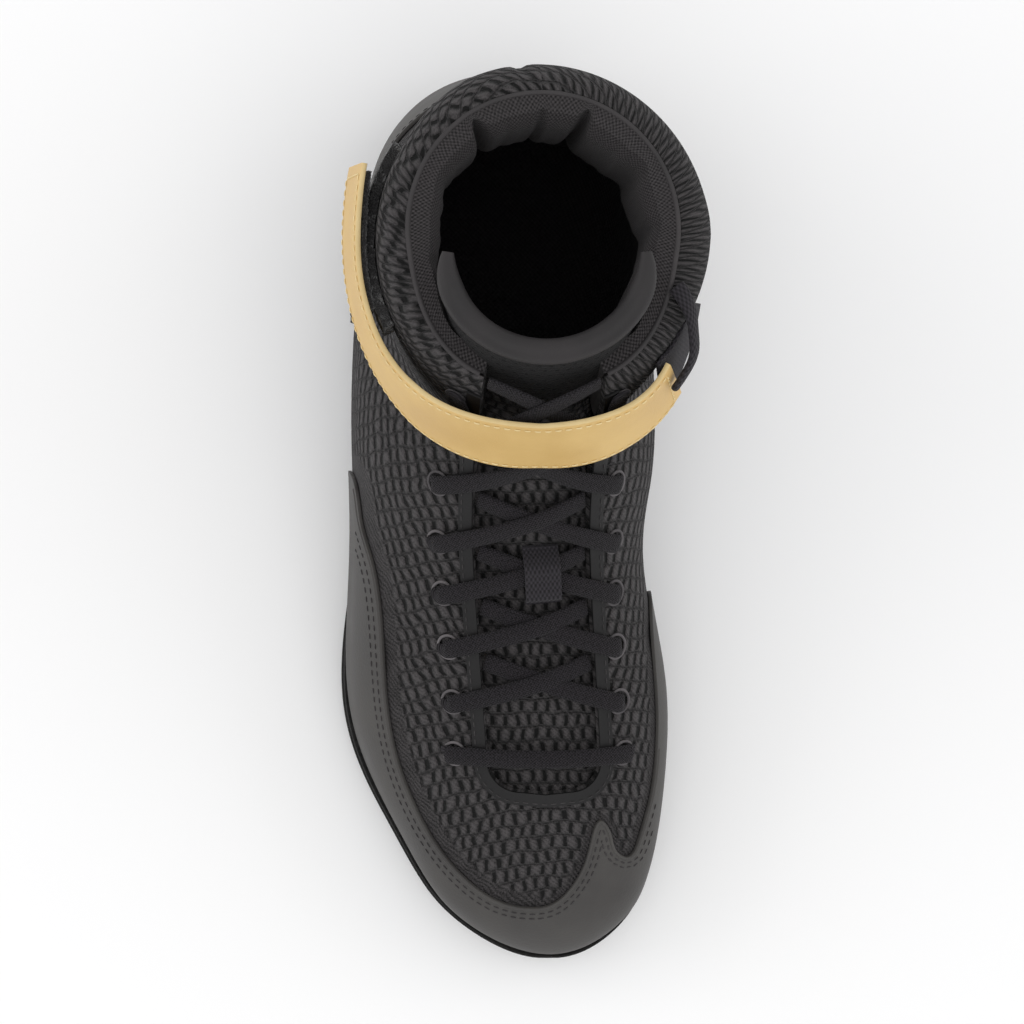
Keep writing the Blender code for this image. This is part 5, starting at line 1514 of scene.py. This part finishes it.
elastic_up = np.outer(1.0 - outward, (0.0, 0.0, 1.0)) + outward[:, None] * last_normal(station, around)
elastic = loft("elastic_strap_keeper",
               swept(elastic_line, elastic_up, flat_section(ELASTIC_WIDTH, ELASTIC_THICK, 2.3)))
place_piece(elastic, WEBBING, "webbing", "strap_keeper")

# %% [markdown]
# The strap closes on a patch of loop tape. It is trimmed by angle and station, 3 mm
# thick, and roughened like the hook tape.

# %% Loop tape on the shaft
LOOP_TURNS = (-2.20, -1.10)
LOOP_STATIONS = (2.86, 3.06)
# About how many metres of cloth one radian and one station are here
METRES_A_TURN = 0.045
METRES_A_STATION = 0.07


def on_loop_tape(points, stations, turns):
    return np.minimum(
        np.minimum(turns - LOOP_TURNS[0], LOOP_TURNS[1] - turns) * METRES_A_TURN,
        np.minimum(stations - LOOP_STATIONS[0], LOOP_STATIONS[1] - stations) * METRES_A_STATION)


loop_tape = trimmed_sheet("loop_tape_on_shaft", even_stations(2.8, 3.2, 30), np.linspace(-1.0, 0.0, 121),
                          FIT, on_loop_tape, thick=3.0 * MM, edge=0.8 * MM)
roughen(loop_tape, 0.35 * MM)
place_piece(loop_tape, HOOK_TAPE, "hook_and_loop", "shaft_loop_pad")

# %% [markdown]
# ## Sock insole and outsole
# The sock insole is a flat cloth board that fills the opening under the upper. The
# outsole is a thin rubber cup: its rim shows as a dark line round the leather, and its
# underside carries cross grooves.

# %% Plan line of the sole
def contour(offset, base, level, count):
    """Plan line where the skin at this offset stands level above base(y)."""
    stations = 0.02 + 2.58 * (0.5 - 0.5 * np.cos(np.linspace(0.0, math.pi, 420)))
    turns = np.linspace(0.02, 0.5 * math.pi, 300)
    sides = []
    for sign in (1.0, -1.0):
        around = sign * (math.pi - turns)
        points = skin(stations[:, None], around[None, :], np.full((420, 300), offset))
        height = points[..., 2] - base(points[..., 1]) - level
        line = []
        for i in range(len(stations)):
            j = int(np.argmax(height[i] > 0.0))
            if height[i, 0] >= 0.0 or j == 0:
                continue
            t = height[i, j - 1] / (height[i, j - 1] - height[i, j])
            line.append(points[i, j - 1] * (1.0 - t) + points[i, j] * t)
        sides.append(np.array(line)[:, :2])
    loop = np.vstack([sides[0], sides[1][::-1]])
    loop = np.roll(loop, -int(np.argmin(loop[:, 1])), axis=0)
    closed = np.vstack([loop, loop[:1]])
    walk = walk_along(closed)
    at = np.linspace(0.0, walk[-1], count, endpoint=False)
    return np.stack([np.interp(at, walk, closed[:, k]) for k in range(2)], axis=-1)


def outset(points, distance):
    along = unit(np.roll(points, -1, axis=0) - np.roll(points, 1, axis=0))
    return points + distance * np.stack([along[:, 1], -along[:, 0]], axis=-1)


RIM_LINE = contour(0.0, ground, 10.0 * MM, 420)
BED_LINE = contour(-WALL, bed, WALL + 1.8 * MM, 300)

# %% Outsole
GROOVES = (
    (-0.375, 0.16), (-0.310, 0.16), (-0.245, 0.14), (-0.180, 0.12), (-0.115, 0.10),
    (0.235, 0.0), (0.300, 0.0), (0.365, 0.0),
)
# The rim's section from its inner lip to the ground: mm out and mm up
SOLE_PROFILE = ((0.3, 12.9), (2.9, 13.0), (3.2, 12.7), (3.4, 9.0), (3.6, 7.9), (4.1, 7.4),
                (4.2, 7.0), (4.2, 3.6), (3.9, 2.2), (3.2, 0.9), (2.2, 0.2), (1.0, 0.0))
GROOVE_DEPTH = 1.5 * MM
GROOVE_HALF = 1.3 * MM
TOE_MIDDLE = 36.0 * MM
HEEL_MIDDLE = 30.0 * MM


def tread(plan):
    """Depth of the grooves and lugs on the underside at plan points."""
    depth = np.zeros(len(plan))
    for share, turn in GROOVES:
        away = (plan[:, 1] - SHIFT[1] - share * UPPER_LENGTH) * math.cos(turn)
        away = away - (plan[:, 0] - SHIFT[0]) * math.sin(turn)
        depth = np.maximum(depth, GROOVE_DEPTH * np.clip(1.8 - np.abs(away) / GROOVE_HALF, 0.0, 1.0))
    return depth


rings = []
for out, level in SOLE_PROFILE:
    line = outset(RIM_LINE, out * MM)
    rings.append(np.column_stack([line, ground(line[:, 1]) + level * MM]))
low_y, high_y = RIM_LINE[:, 1].min(), RIM_LINE[:, 1].max()
spine_y = np.clip(RIM_LINE[:, 1], low_y + TOE_MIDDLE, high_y - HEEL_MIDDLE)
half_lines = []
for y in spine_y:
    near = RIM_LINE[np.argsort(np.abs(RIM_LINE[:, 1] - y))[:8]]
    half_lines.append(0.5 * (near[:, 0].min() + near[:, 0].max()))
inner = np.column_stack([half_lines, spine_y])
for t in np.linspace(0.0, 1.0, 64)[1:]:
    line = RIM_LINE * (1.0 - t) + inner * t
    rings.append(np.column_stack([line, ground(line[:, 1]) + tread(line)]))
rings = np.array(rings)
closed = np.concatenate([rings, rings[:, :1]], axis=1)
outsole = grid_piece("rubber_outsole", closed, closed[..., :2] / MM)
in_edit_mode(outsole, MERGE_POINTS)
if outsole.data.polygons[len(outsole.data.polygons) - 50].normal.z > 0.0:
    flip(outsole)
smooth(outsole, 40.0)
place_piece(outsole, RUBBER, "sole_rubber", "outsole")

# %% [markdown]
# The sock insole's rings shrink from its edge to a middle line, and its edge is
# pressed down a little where the upper's lip holds it.

# %% Sock insole
SOCK_INSET = 1.3 * MM
SOCK_TOP = 4.2 * MM
SOCK_DIP = 0.8 * MM
SOCK_THICK = 3.0 * MM
sock_line = outset(BED_LINE, -SOCK_INSET)
sock_middle = np.column_stack([centre_x(sock_line[:, 1]) * 0.3, np.clip(sock_line[:, 1], -0.10, 0.10)])
rings = []
for t in np.linspace(0.0, 1.0, 40):
    line = sock_line * (1.0 - t) + sock_middle * t
    rings.append(np.column_stack([line, bed(line[:, 1]) + SOCK_TOP - SOCK_DIP * (1.0 - t) ** 8]))
rings = np.array(rings)
closed = np.concatenate([rings, rings[:, :1]], axis=1)
sock = grid_piece("sock_insole", closed, closed[..., :2] / MM)
in_edit_mode(sock, MERGE_POINTS)
if sock.data.polygons[len(sock.data.polygons) // 2].normal.z < 0.0:
    flip(sock)
mesh_step(sock, "SOLIDIFY", thickness=SOCK_THICK, offset=-1.0)
smooth(sock)
place_piece(sock, SOCK_CLOTH, "sock_cloth", "insole")
